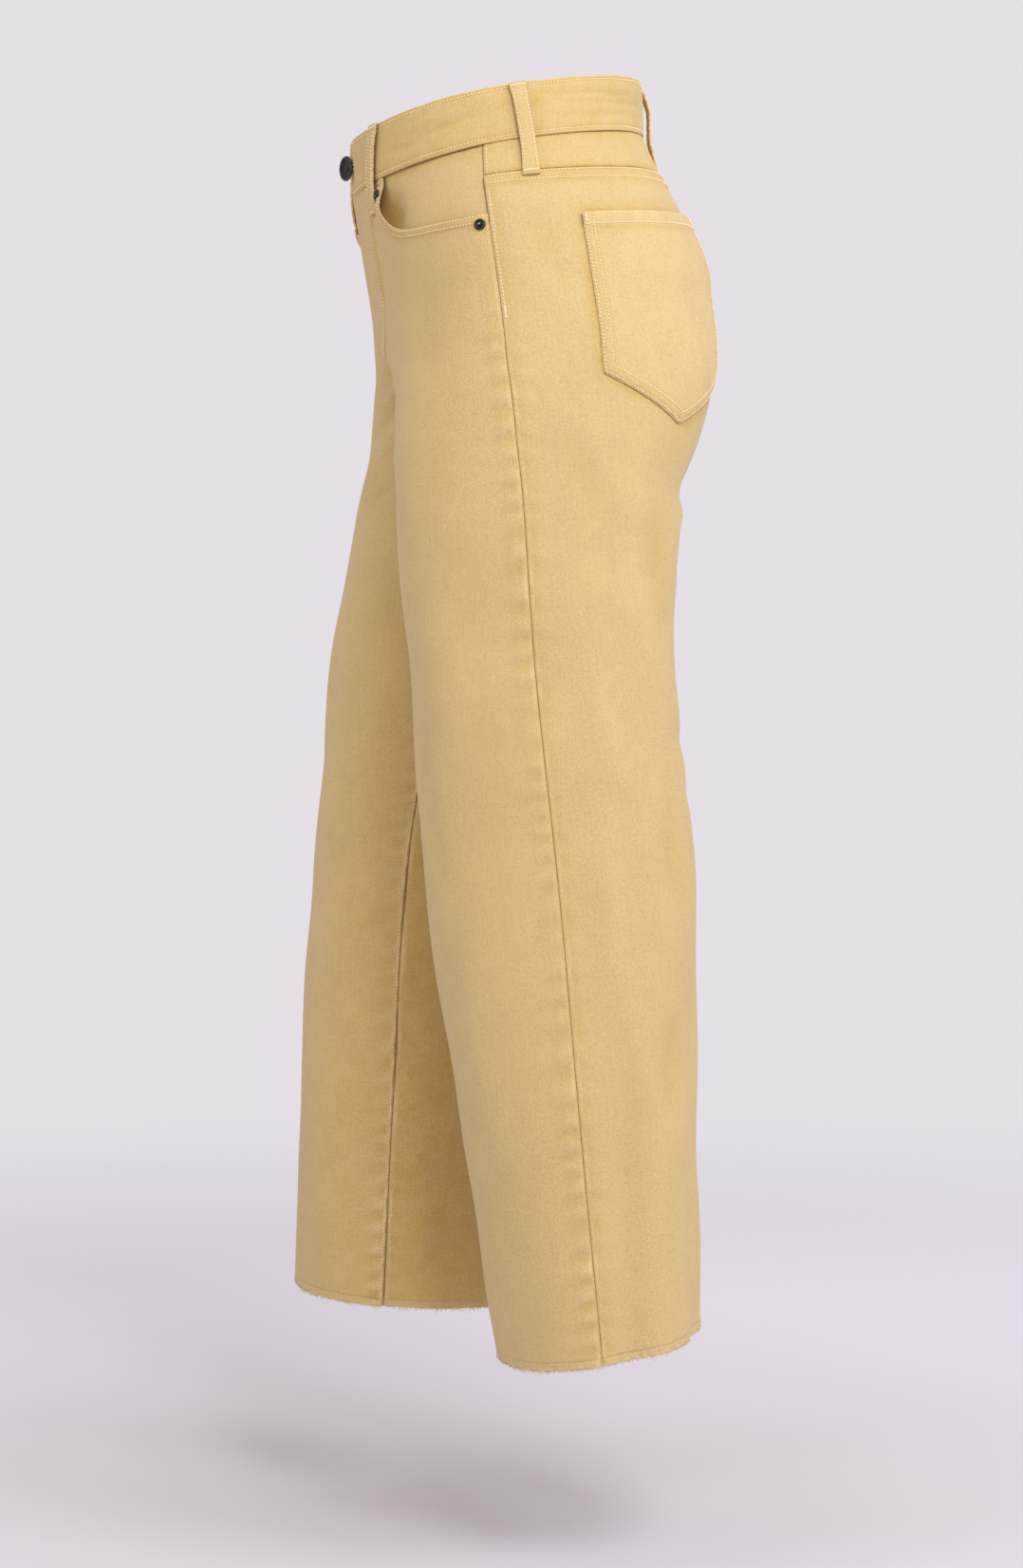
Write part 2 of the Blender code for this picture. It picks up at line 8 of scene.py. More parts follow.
# %% Load the solid model
import math
from functools import reduce
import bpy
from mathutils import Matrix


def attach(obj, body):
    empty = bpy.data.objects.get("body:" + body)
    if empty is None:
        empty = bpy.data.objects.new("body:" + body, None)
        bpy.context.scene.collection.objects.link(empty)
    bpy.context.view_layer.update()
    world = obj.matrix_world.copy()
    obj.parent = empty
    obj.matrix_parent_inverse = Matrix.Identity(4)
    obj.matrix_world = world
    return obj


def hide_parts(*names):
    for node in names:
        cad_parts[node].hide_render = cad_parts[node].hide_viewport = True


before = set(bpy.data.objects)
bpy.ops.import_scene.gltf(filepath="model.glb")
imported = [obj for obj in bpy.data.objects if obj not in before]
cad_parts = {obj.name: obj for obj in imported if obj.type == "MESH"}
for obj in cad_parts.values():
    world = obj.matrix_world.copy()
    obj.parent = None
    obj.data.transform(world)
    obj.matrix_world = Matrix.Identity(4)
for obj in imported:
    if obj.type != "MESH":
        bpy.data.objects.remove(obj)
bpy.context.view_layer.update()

from types import SimpleNamespace

import bpy
import numpy as np
from mathutils import Vector

# %% [markdown]
# ## The shape of the cloth
# Every panel of a pair of jeans lies on one smooth surface, so a place on it can be named by
# three numbers: the half of the garment, the drop below the waistband's top edge, and the share
# of the way round from centre front (0) over the side seam (1) to centre back (2). The outline
# comes from level sections, one row of a table each. A loft through sections keeps every piece
# in its place, and a crease is only a small height added on top.

# %% Level sections and flutes of the legs
SECTION_COLUMNS = (
    "drop", "tilt", "dip", "x_middle", "x_out", "y_front", "y_wide", "y_back", "y_side",
    "y_inner")
HIP_SECTIONS = (
    (0.000, 0.15, 0.008, 0.000, 0.133, -0.113, -0.002, 0.107, -0.028, 0.000),
    (0.038, 0.15, 0.008, 0.000, 0.142, -0.111, -0.002, 0.108, -0.031, 0.000),
    (0.065, 0.13, 0.007, 0.000, 0.151, -0.108, 0.000, 0.119, -0.031, 0.000),
    (0.095, 0.10, 0.004, 0.000, 0.161, -0.104, 0.004, 0.136, -0.029, 0.000),
    (0.150, 0.06, 0.000, 0.006, 0.172, -0.095, 0.010, 0.159, -0.023, 0.000),
    (0.180, 0.04, 0.000, 0.032, 0.177, -0.091, 0.014, 0.158, -0.020, 0.000),
    (0.205, 0.03, 0.000, 0.060, 0.180, -0.088, 0.018, 0.154, -0.018, 0.000),
    (0.230, 0.01, 0.000, 0.080, 0.182, -0.088, 0.020, 0.147, -0.015, 0.000),
    (0.250, 0.00, 0.000, 0.0895, 0.1835, -0.089, 0.022, 0.140, -0.013, 0.022),
    (0.262, 0.00, 0.000, 0.0922, 0.184, -0.090, 0.022, 0.136, -0.012, 0.022),
)
LEFT_LEG_SECTIONS = (
    (0.300, 0.00, 0.000, 0.094, 0.186, -0.090, 0.024, 0.124, -0.008, 0.026),
    (0.420, 0.00, 0.000, 0.099, 0.190, -0.081, 0.030, 0.117, 0.000, 0.034),
    (0.600, 0.03, 0.000, 0.107, 0.198, -0.068, 0.040, 0.133, 0.018, 0.045),
    (0.780, 0.09, 0.000, 0.116, 0.208, -0.040, 0.050, 0.132, 0.033, 0.055),
    (0.928, 0.17, 0.000, 0.124, 0.218, -0.017, 0.058, 0.134, 0.046, 0.062),
)
RIGHT_LEG_SECTIONS = (
    (0.300, 0.00, 0.000, 0.0935, 0.184, -0.099, 0.016, 0.115, -0.012, 0.010),
    (0.420, 0.00, 0.000, 0.095, 0.184, -0.118, -0.006, 0.085, -0.028, -0.038),
    (0.600, 0.00, 0.000, 0.096, 0.184, -0.135, -0.030, 0.060, -0.045, -0.071),
    (0.780, -0.02, 0.000, 0.096, 0.186, -0.146, -0.045, 0.046, -0.058, -0.082),
    (0.928, -0.05, 0.000, 0.096, 0.190, -0.151, -0.052, 0.040, -0.064, -0.090),
)
# side, angle above, angle at the hem, drop where it starts and is full, half width, height
FLUTES = (
    (+1, 11.0, 5.0, 0.56, 0.84, 8.0, -0.0045),
    (+1, 29.0, 23.0, 0.52, 0.84, 9.0, 0.0035),
    (+1, 66.0, 56.0, 0.60, 0.90, 9.0, -0.0050),
    (+1, -118.0, -108.0, 0.58, 0.88, 9.0, -0.0045),
    (+1, 150.0, 140.0, 0.50, 0.86, 9.0, -0.0050),
    (-1, 150.0, 142.0, 0.52, 0.84, 9.0, -0.0060),
    (-1, -172.0, -178.0, 0.56, 0.88, 8.0, 0.0030),
    (-1, 96.0, 88.0, 0.56, 0.88, 9.0, -0.0050),
    (-1, 20.0, 12.0, 0.58, 0.90, 8.0, -0.0050),
    (-1, -70.0, -64.0, 0.60, 0.90, 8.0, -0.0035),
)
ROUNDNESS = 2.25
SHARE_LENGTH = 0.2
BAND_DROP = 0.042
FLY_DROP = 0.188
CROTCH_DROP = 0.262
GUSSET_TOP, GUSSET_END, INNER_TAPER = 0.190, 0.420, 5
HEM_DROP = 0.928
FRAY_STRIP = 0.004
CLOTH_WALL = 0.0012
SEAM_GAP = 0.0002


def ease(t):
    """0 to 1 with soft ends, on numbers or arrays."""
    t = np.clip(t, 0.0, 1.0)
    return t * t * (3 - 2 * t)


def bell(away, width):
    """1 at the middle, falling softly to nothing about two widths away."""
    return np.exp(-(away / width) ** 2)


def most(*values):
    """The largest of several numbers or arrays, place by place."""
    return reduce(np.maximum, values)


def pairs(first, second):
    """Numbers or arrays side by side, as places on flat cloth."""
    return np.stack(np.broadcast_arrays(first, second), axis=-1)


def unit(vectors):
    return vectors / np.linalg.norm(vectors, axis=-1, keepdims=True)


def run_along(points, axis=0):
    """The length run so far along a line of points, or the mean of several lines."""
    steps = np.linalg.norm(np.diff(points, axis=axis), axis=-1)
    steps = steps.mean(axis=1 - axis) if steps.ndim > 1 else steps
    return np.concatenate([[0.0], np.cumsum(steps)])


def matched(first, second):
    """Two numbers or arrays, spread to one shape."""
    return np.broadcast_arrays(np.asarray(first, float), np.asarray(second, float))


def sided(name, side):
    return name + ("_left" if side > 0 else "_right")


def smooth_read(at, places, amounts):
    """Read a column of a table between its rows by a curve that never overshoots them."""
    steps = np.diff(places)
    slopes = np.diff(amounts) / steps
    lean = np.concatenate([slopes[:1], np.zeros(len(steps) - 1), slopes[-1:]])
    for k in range(1, len(steps)):
        if slopes[k - 1] * slopes[k] > 0:
            lean[k] = 2.0 / (1.0 / slopes[k - 1] + 1.0 / slopes[k])
    k = np.clip(np.searchsorted(places, at) - 1, 0, len(steps) - 1)
    t = (at - places[k]) / steps[k]
    start = amounts[k] * (1 + 2 * t) * (1 - t) ** 2 + lean[k] * steps[k] * t * (1 - t) ** 2
    return start + amounts[k + 1] * t * t * (3 - 2 * t) + lean[k + 1] * steps[k] * t * t * (t - 1)


# %% [markdown]
# One section is a rounded oval, cut at the side seam and at the middle seams. Its points are
# measured along the cloth, so that a share is a true part of the panel's width and stitches can
# be set a few millimetres from a seam.

# %% Points of one level section
def section_sizes(side, drop):
    legs = LEFT_LEG_SECTIONS if side > 0 else RIGHT_LEG_SECTIONS
    rows = np.array(HIP_SECTIONS + legs)
    return SimpleNamespace(**{name: float(smooth_read(drop, rows[:, 0], rows[:, k]))
                              for k, name in enumerate(SECTION_COLUMNS) if k})


def angle_at_y(sizes, y):
    reach = sizes.y_back - sizes.y_wide if y >= sizes.y_wide else sizes.y_wide - sizes.y_front
    part = (y - sizes.y_wide) / reach
    return math.copysign(math.asin(min(1.0, abs(part) ** (ROUNDNESS / 2))), part)


def flute_height(side, drop, angle):
    height = np.zeros_like(angle)
    for half, top, hem, start, full, spread, depth in FLUTES:
        if half == side:
            along = ease((drop - start) / (HEM_DROP - start))
            away = (np.degrees(angle) - top - (hem - top) * along + 180) % 360 - 180
            height += depth * ease((drop - start) / (full - start)) * bell(away, spread)
    return height


def section_half(side, drop, back):
    """Points of the front or back of one section, from the side seam inwards, with lengths."""
    sizes = section_sizes(side, drop)
    seam = angle_at_y(sizes, sizes.y_side)
    half_width = sizes.x_out - sizes.x_middle
    if drop >= CROTCH_DROP:
        inner = angle_at_y(sizes, sizes.y_inner)
        end = math.pi - inner if back else -math.pi - inner
    else:
        end = math.pi - math.acos(min(1.0, (sizes.x_middle / half_width) ** (ROUNDNESS / 2)))
        end = end if back else -end
    angle = np.linspace(seam, end, 200)
    c, s = np.cos(angle), np.sin(angle)
    lift = flute_height(side, drop, angle)
    reach = np.where(s < 0, sizes.y_wide - sizes.y_front, sizes.y_back - sizes.y_wide)
    x = sizes.x_middle + half_width * np.sign(c) * np.abs(c) ** (2 / ROUNDNESS) + lift * c
    y = sizes.y_wide + reach * np.sign(s) * np.abs(s) ** (2 / ROUNDNESS) + lift * s
    pivot = sizes.y_wide if drop > CROTCH_DROP else 0.0
    if drop < CROTCH_DROP:
        x = np.maximum(x, SEAM_GAP / 2)
    z = sizes.tilt * (y - pivot) - sizes.dip * (np.minimum(y, 0) / 0.1) ** 2 - drop
    points = np.stack([side * x, y, z], axis=-1)
    return points, run_along(points)


# %% [markdown]
# Working a section out anew for each of many thousand points would be slow. Instead the surface
# is worked out once on a close grid, with its outward direction and its lengths, and read back
# between the grid's points by smooth cubics. A straight-line read would leave faint facets.

# %% Keep the whole surface on a grid
ROW_STEP = 0.003
GRID_DROPS = np.arange(-1, 314) * ROW_STEP
SHARE_STEPS = 64


def surface_grid(side):
    """Point, outward direction, signed arc from the side seam and distance to the inner edge."""
    shares = np.linspace(0, 1, SHARE_STEPS + 1)
    gusset = [[section_half(side, d, back)[1][-1] for d in (GUSSET_TOP, GUSSET_END)]
              for back in (0, 1)]
    rows = []
    for drop in GRID_DROPS:
        halves = []
        for back in (0, 1):
            points, lengths = section_half(side, max(drop, 0.0), back)
            width = lengths[-1]
            steady = width
            if GUSSET_TOP < drop < GUSSET_END:
                grown = ease((drop - GUSSET_TOP) / (GUSSET_END - GUSSET_TOP))
                steady = gusset[back][0] + (gusset[back][1] - gusset[back][0]) * grown
            away = steady * shares + (width - steady) * shares ** INNER_TAPER
            found = [np.interp(away, lengths, points[:, k]) for k in range(3)]
            arc = away if back else -away
            halves.append(np.stack(found + [arc, width - away], axis=-1))
        row = np.concatenate([halves[0][::-1], halves[1][1:]])
        row[:, 2] -= min(drop, 0.0)
        rows.append(row)
    grid = np.array(rows)
    across = np.gradient(grid[..., :3], axis=1)
    down = np.gradient(grid[..., :3], axis=0)
    out = unit(np.cross(across, down) * -side)
    grid = np.concatenate([grid[..., :3], out, grid[..., 3:]], axis=-1)
    before = 2 * grid[:, :1] - grid[:, 1:2]
    after = 2 * grid[:, -1:] - grid[:, -2:-1]
    return np.concatenate([before, grid, after], axis=1)


SURFACE = {side: surface_grid(side) for side in (+1, -1)}
print("surface grids:", SURFACE[1].shape)


# %% Read the surface anywhere
def cubic_weights(t):
    return (-0.5 * t + t * t - 0.5 * t ** 3, 1 - 2.5 * t * t + 1.5 * t ** 3,
            0.5 * t + 2 * t * t - 1.5 * t ** 3, -0.5 * t * t + 0.5 * t ** 3)


def read_grid(grid, drop, share):
    """Smooth read of a surface grid, whose first and last columns lie outside the shares."""
    row = np.clip(drop / ROW_STEP + 1, 1, len(grid) - 2.001)
    column = np.clip(share * SHARE_STEPS, 0, 2 * SHARE_STEPS - 0.0001)
    i, j = row.astype(int), column.astype(int)
    down, over = cubic_weights(row - i), cubic_weights(column - j)
    total = 0.0
    for a in range(4):
        near = np.minimum(i + a - 1, len(grid) - 1)
        for b in range(4):
            total = total + (down[a] * over[b])[..., None] * grid[near, j + b]
    return total


def cloth_at(side, drop, share):
    """Places on the cloth: point, out, arc from the side seam, and distance to the inner edge."""
    drop, share = matched(drop, share)
    crossed = (share < 0) | ((share > 2) & (share <= 4))
    local = np.where(share > 4, share - 4, np.where(share > 2, 4 - share, np.abs(share)))
    found = read_grid(SURFACE[side], drop, local)
    if crossed.any():
        found = np.where(crossed[..., None], read_grid(SURFACE[-side], drop, local), found)
    return SimpleNamespace(point=found[..., :3], out=unit(found[..., 3:6]), arc=found[..., 6],
                           inner=found[..., 7], drop=drop, share=share, side=side)


def raised(spot, height):
    """Points at a height over places on the cloth."""
    return spot.point + spot.out * height[..., None]


def share_at(side, drop, arc):
    """The share that lies at a signed distance along the cloth from the side seam."""
    drop, arc = matched(drop, arc)
    edge = cloth_at(side, drop, np.where(arc < 0, 0.5, 1.5))
    share = 1 + arc / (2 * np.abs(edge.arc))
    for _ in range(4):
        here = cloth_at(side, drop, share)
        ahead = cloth_at(side, drop, share + 0.01)
        share = share + (arc - here.arc) * 0.01 / (ahead.arc - here.arc)
    return share


# %% [markdown]
# ## Creases, pressed seams and puckers
# Real cloth is never quite smooth. Where a plain seam is sewn, the two edges roll down into a
# fine groove, and the thread draws the cloth into short puckers beside it. Felled seams, which
# are folded over and sewn twice, stand up as a flat ridge. Long soft creases come from sitting
# and walking. All of these are heights added to the smooth surface: each crease is a row of a
# table with its place, direction, length, width and height, so that it can be set by eye.

# %% Soft creases, placed one by one
# side, drop, arc from the side seam (minus is the front), direction in degrees (0 is level, 90
# runs down the leg), half length, half width, height (minus is a trough)
CREASES = (
    (+1, 0.365, 0.108, 84, 0.050, 0.014, -0.0013),
    (+1, 0.352, 0.078, 88, 0.060, 0.016, 0.0008),
    (+1, 0.458, 0.046, 88, 0.055, 0.016, 0.0011),
    (+1, 0.620, 0.036, 88, 0.120, 0.013, 0.0012),
    (+1, 0.570, 0.096, 86, 0.042, 0.012, -0.0012),
    (+1, 0.722, 0.078, 96, 0.034, 0.012, -0.0010),
    (+1, 0.285, 0.205, -24, 0.052, 0.009, -0.0020),
    (+1, 0.306, 0.190, -20, 0.045, 0.010, 0.0010),
    (+1, 0.330, 0.200, -34, 0.046, 0.011, -0.0016),
    (+1, 0.250, 0.232, -58, 0.034, 0.007, -0.0014),
    (+1, 0.490, 0.165, 14, 0.042, 0.010, -0.0010),
    (+1, 0.520, 0.175, -12, 0.036, 0.010, -0.0009),
    (+1, 0.236, -0.185, 32, 0.050, 0.007, -0.0013),
    (+1, 0.212, -0.188, 24, 0.045, 0.007, -0.0010),
    (+1, 0.266, -0.190, 42, 0.052, 0.008, -0.0012),
    (+1, 0.180, -0.070, 78, 0.050, 0.018, -0.0006),
    (+1, 0.410, -0.070, 90, 0.090, 0.018, 0.0009),
    (+1, 0.520, -0.110, 82, 0.060, 0.013, -0.0010),
    (+1, 0.700, -0.075, 88, 0.080, 0.015, 0.0008),
    (+1, 0.130, 0.040, 70, 0.030, 0.012, -0.0007),
    (+1, 0.300, 0.050, 60, 0.040, 0.014, -0.0006),
    (-1, 0.365, 0.112, 80, 0.048, 0.013, -0.0012),
    (-1, 0.440, 0.060, 86, 0.060, 0.016, 0.0010),
    (-1, 0.282, 0.200, -26, 0.054, 0.009, -0.0019),
    (-1, 0.312, 0.195, -18, 0.046, 0.011, -0.0013),
    (-1, 0.345, 0.210, -36, 0.040, 0.010, -0.0012),
    (-1, 0.252, 0.228, -60, 0.032, 0.007, -0.0013),
    (-1, 0.500, 0.170, 18, 0.046, 0.010, -0.0013),
    (-1, 0.530, 0.150, -10, 0.040, 0.009, -0.0011),
    (-1, 0.560, 0.180, 22, 0.036, 0.010, -0.0010),
    (-1, 0.232, -0.180, 28, 0.052, 0.007, -0.0014),
    (-1, 0.206, -0.186, 20, 0.046, 0.007, -0.0011),
    (-1, 0.262, -0.186, 38, 0.054, 0.008, -0.0015),
    (-1, 0.292, -0.182, 48, 0.046, 0.009, -0.0010),
    (-1, 0.460, -0.120, 76, 0.070, 0.014, 0.0010),
    (-1, 0.540, -0.060, 92, 0.070, 0.014, -0.0009),
    (-1, 0.690, -0.140, 86, 0.090, 0.014, 0.0010),
    (-1, 0.640, -0.090, 84, 0.080, 0.013, -0.0010),
    (-1, 0.130, 0.046, 66, 0.032, 0.012, -0.0007),
    (-1, 0.620, 0.050, 90, 0.110, 0.014, 0.0010),
    (-1, 0.740, 0.100, 88, 0.080, 0.013, -0.0010),
)
CREASE_STRENGTH, SWELL_HEIGHT, RIPPLE_HEIGHT = 2.4, 0.00130, 0.00036


def crease_height(side, drop, arc):
    height = np.zeros(np.broadcast(drop, arc).shape)
    for half, at_drop, at_arc, turn, half_length, half_width, peak in CREASES:
        if half == side:
            c, s = math.cos(math.radians(turn)), math.sin(math.radians(turn))
            along = (arc - at_arc) * c + (drop - at_drop) * s
            over = (drop - at_drop) * c - (arc - at_arc) * s
            over = over + 0.12 * along ** 2 / half_length
            height += peak * np.exp(-(along / half_length) ** 4 - (over / half_width) ** 2)
    return CREASE_STRENGTH * height


def slow_swell(side, drop, arc):
    """The faint unevenness that keeps cloth from looking moulded."""
    swell = np.sin(46 * arc + 5 * np.sin(6.5 * drop + side) + 2.0) * np.sin(21 * drop + 9 * arc)
    ripple = np.sin(95 * arc + 17 * drop * side) * np.sin(33 * drop - 25 * arc + 1.3)
    return SWELL_HEIGHT * swell + RIPPLE_HEIGHT * ripple


def soft_height(side, drop, arc):
    calm = 0.45 + 0.55 * ease((drop - 0.20) / 0.20)
    return crease_height(side, drop, arc) + calm * slow_swell(side, drop, arc)


# %% [markdown]
# Puckers come about every 18 to 20 mm, never quite evenly, and die out 12 to 15 mm from the
# seam. A sine wave whose phase wanders gives that. They are slanted by making the wave depend a
# little on the distance from the seam.

# %% Puckers and pressed seams
PUCKER_REACH, SIDE_PITCH, INSEAM_PITCH = 0.0125, 0.0195, 0.0180


def pucker(drop, away, reach, pitch, start):
    wander = 0.35 * np.sin(21 * drop + start) + 0.22 * np.sin(53 * drop + 2 * start)
    wave = np.sin(math.tau * ((drop - 0.25 * away) / pitch + wander) + start)
    strength = 0.72 + 0.20 * np.sin(12 * drop + 3 * start) + 0.13 * np.sin(37 * drop)
    return wave * strength * ease(away / 0.004) * bell(away, reach)


def groove(away, width=0.0013, depth=0.0011):
    return -depth * bell(away, width)


def ledge(away, width, height):
    """A flat raised strip from a seam to width, with a soft far edge."""
    return height * ease(away / 0.0008) * (1 - ease((away - width) / 0.0012))


def past_crotch(drop):
    """0 above the crotch and 1 below it, where the two legs part."""
    return ease((drop - CROTCH_DROP) / 0.010)


def hip_to_leg(drop):
    """Seams lie flat over the hip and stand up fully on the leg."""
    return 0.35 + 0.65 * ease((drop - 0.17) / 0.04)


def yoke_seam_drop(share):
    return 0.066 + 0.006 * (share - 1)


def seam_waves(spot):
    """The puckers along the side seam and the inseam, stronger on the front."""
    front = spot.share <= 1
    at_side = pucker(spot.drop, np.abs(spot.arc), PUCKER_REACH, SIDE_PITCH, 0.4 + spot.side)
    at_inner = pucker(spot.drop, spot.inner, PUCKER_REACH, INSEAM_PITCH, 2.1 + spot.side)
    return (hip_to_leg(spot.drop) * np.where(front, 0.00125, 0.00040) * at_side
            + past_crotch(spot.drop) * np.where(front, 0.00170, 0.00060) * at_inner)


YOKE_ROWS, CENTRE_ROWS = (0.0018, 0.0074), (0.0015, 0.0064)
BELOW_BAND, CENTRE_END = 0.0445, 0.2560
CENTRE_LEDGE = (0.0072, 0.00060)


def panel_height(spot):
    """Height of a front or back panel's face over the smooth surface."""
    side, drop, inner = spot.side, spot.drop, spot.inner
    side_away = np.abs(spot.arc)
    front = spot.share <= 1
    height = soft_height(side, drop, spot.arc) + groove(side_away, 0.0010, 0.0005)
    height += 0.00025 * bell(side_away - 0.008, 0.006) + seam_waves(spot)
    pressed = 1 - ease((side_away - 0.0105) / 0.0035)
    height += hip_to_leg(drop) * np.where(front, 0.00050, 0.00020) * pressed
    height += groove(inner, 0.0010, 0.0005)
    height += past_crotch(drop) * np.where(front, ledge(inner, 0.0030, 0.00050), 0.0)
    middle = ledge(inner, *CENTRE_LEDGE) if side > 0 else 0.0 * inner
    middle += 0.00012 * pucker(drop, np.abs(inner - 0.0036) + 0.001, 0.006, 0.0085, 1.0)
    closed = np.where(front, ease((drop - FLY_DROP) / 0.006), 1.0) * (1 - past_crotch(drop))
    below_yoke = drop - yoke_seam_drop(spot.share)
    yoke_fell = ledge(below_yoke, 0.0088, 0.00060) + groove(below_yoke, 0.0009, 0.0004)
    return height + closed * middle + np.where(front, 0.0, yoke_fell)


def painted_channel_shade(away, rows):
    """Painted shade in the small channels that rows of stitches press."""
    return most(*[bell(away - row, 0.0012) for row in rows])


def wear_and_shade_marks(spot):
    """How far the colour darkens and how far it pales, both 0 to 1.

    It darkens with deeper dye beside a seam and along the yoke's fell, and with painted shade in
    the stitch channels, in the hollows of puckers and creases and on the inner sides of the legs.
    It pales where the ridges of a seam have worn, and on the crests of puckers and creases, as wear
    and as painted highlight."""
    front = spot.share <= 1
    near_side = 0.60 * bell(np.abs(spot.arc), 0.009)
    near_inner = 0.60 * bell(spot.inner, 0.010)
    below_yoke = spot.drop - yoke_seam_drop(spot.share)
    fell = 0.45 * (1 - ease((below_yoke - 0.009) / 0.004))
    at_yoke = np.where(front, 0.0, most(fell, painted_channel_shade(below_yoke, YOKE_ROWS)))
    # Painted shade on the inner sides of the legs below the crotch, where one leg shades the other.
    between_legs = ease((spot.drop - CROTCH_DROP) / 0.05) * (1 - ease(spot.inner / 0.14))
    between_legs = between_legs * np.where(front, 0.40, 0.80)
    # Painted shade in the hollows of puckers and creases, and painted highlight with some wear on
    # their crests.
    relief = seam_waves(spot) + 0.14 * crease_height(spot.side, spot.drop, spot.arc)
    crest, hollow = np.clip(relief / 0.0010, 0, 1), np.clip(-relief / 0.0010, 0, 1)
    deep_dye_and_shade = most(near_side, near_inner, at_yoke, between_legs, 0.75 * hollow) * (1 - 0.6 * crest)
    at_seam = np.minimum(np.abs(spot.arc), spot.inner)
    rubbed_and_highlight = bell(at_seam - 0.0022, 0.0012) * (0.7 + 0.3 * np.sin(spot.drop * 90))
    return deep_dye_and_shade * (1 - 0.7 * rubbed_and_highlight), np.maximum(rubbed_and_highlight, 0.65 * crest)


# %% [markdown]
# ## From a grid of points to a piece of cloth
# A panel is made as a grid: rows run down it, columns across. The faces of a grid need no
# drawing by hand, because the corner numbers follow from the row and column. The Solidify
# modifier gives the sheet its real wall, inwards, so that the outer face stays where it was
# planned. Each point also keeps its place on the flat cloth in metres, as UVs, so that the weave
# has its true size, and two numbers for its colour: one for deeper dye and painted shade, one
# for wear and painted highlight.

# %% Grid, UVs and marks of wear, dye and painted shade to an object
ROOT_PIECES = []


def grid_faces(rows, columns, flip):
    corner = np.arange(rows * columns).reshape(rows, columns)
    faces = np.stack([corner[:-1, :-1], corner[1:, :-1], corner[1:, 1:], corner[:-1, 1:]], axis=-1)
    faces = faces.reshape(-1, 4)
    return faces[:, ::-1] if flip else faces


def new_piece(name, points, faces, finish, flat=None, deep_dye_and_shade=None, rubbed_and_highlight=None):
    """An object from points and faces, riding on the garment's one body."""
    mesh = bpy.data.meshes.new(name)
    faces = faces if isinstance(faces, list) else faces.tolist()
    mesh.from_pydata(np.asarray(points).tolist(), [], faces)
    mesh.materials.append(finish)
    if flat is not None:
        corners = np.zeros(len(mesh.loops), int)
        mesh.loops.foreach_get("vertex_index", corners)
        layer = mesh.uv_layers.new(name="cloth")
        layer.data.foreach_set("uv", np.asarray(flat, np.float32)[corners].ravel())
    for label, values in (("deep_dye_and_shade", deep_dye_and_shade), ("rubbed_and_highlight", rubbed_and_highlight)):
        if values is not None:
            kept = mesh.attributes.new(label, "FLOAT", "POINT")
            kept.data.foreach_set("value", np.asarray(values, np.float32).ravel())
    mesh.shade_smooth()
    piece = bpy.data.objects.new(name, mesh)
    bpy.context.scene.collection.objects.link(piece)
    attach(piece, "root")
    ROOT_PIECES.append(piece)
    return piece


def cloth_piece(name, points, flat, outward, finish, wall=CLOTH_WALL, marks=None):
    """A sheet of cloth with a wall, from a grid of outer points."""
    rows, columns = points.shape[:2]
    deep_dye_and_shade, rubbed_and_highlight = marks if marks is not None else (np.zeros((rows, columns)),) * 2
    piece = new_piece(name, points.reshape(-1, 3), grid_faces(rows, columns, outward < 0),
                      finish, flat.reshape(-1, 2), deep_dye_and_shade, rubbed_and_highlight)
    solid = piece.modifiers.new("wall", "SOLIDIFY")
    solid.thickness = wall
    solid.offset = -1.0
    solid.use_even_offset = False
    return piece


def crowded(edges, count):
    """Places from 0 to 1, evenly spread but closer together at both ends."""
    start = np.array(edges)
    middle = np.linspace(start[-1], 1 - start[-1], count)[1:-1]
    return np.concatenate([start, middle, 1 - start[::-1]])


# %% [markdown]
# ## Materials
# Shader nodes are easier to read as arithmetic. The small class below wraps a node's output, so
# that `streak * 0.1 + 1` adds the Math nodes for it. Colours go through Mix nodes, because a
# Math node would turn them grey.

# %% Arithmetic on sockets
class Value:
    """A number that varies over the surface, with Python's arithmetic."""

    def __init__(self, bench, socket):
        self.bench, self.socket = bench, socket


def arithmetic(operation, swapped=False):
    """An operator of Value that adds a Math node."""
    def act(value, other):
        first, second = (other, value) if swapped else (value, other)
        return value.bench.add("ShaderNodeMath", {"operation": operation}, {0: first, 1: second})
    return act


for sign, operation in (("add", "ADD"), ("sub", "SUBTRACT"), ("mul", "MULTIPLY")):
    setattr(Value, f"__{sign}__", arithmetic(operation))
    setattr(Value, f"__r{sign}__", arithmetic(operation, swapped=True))


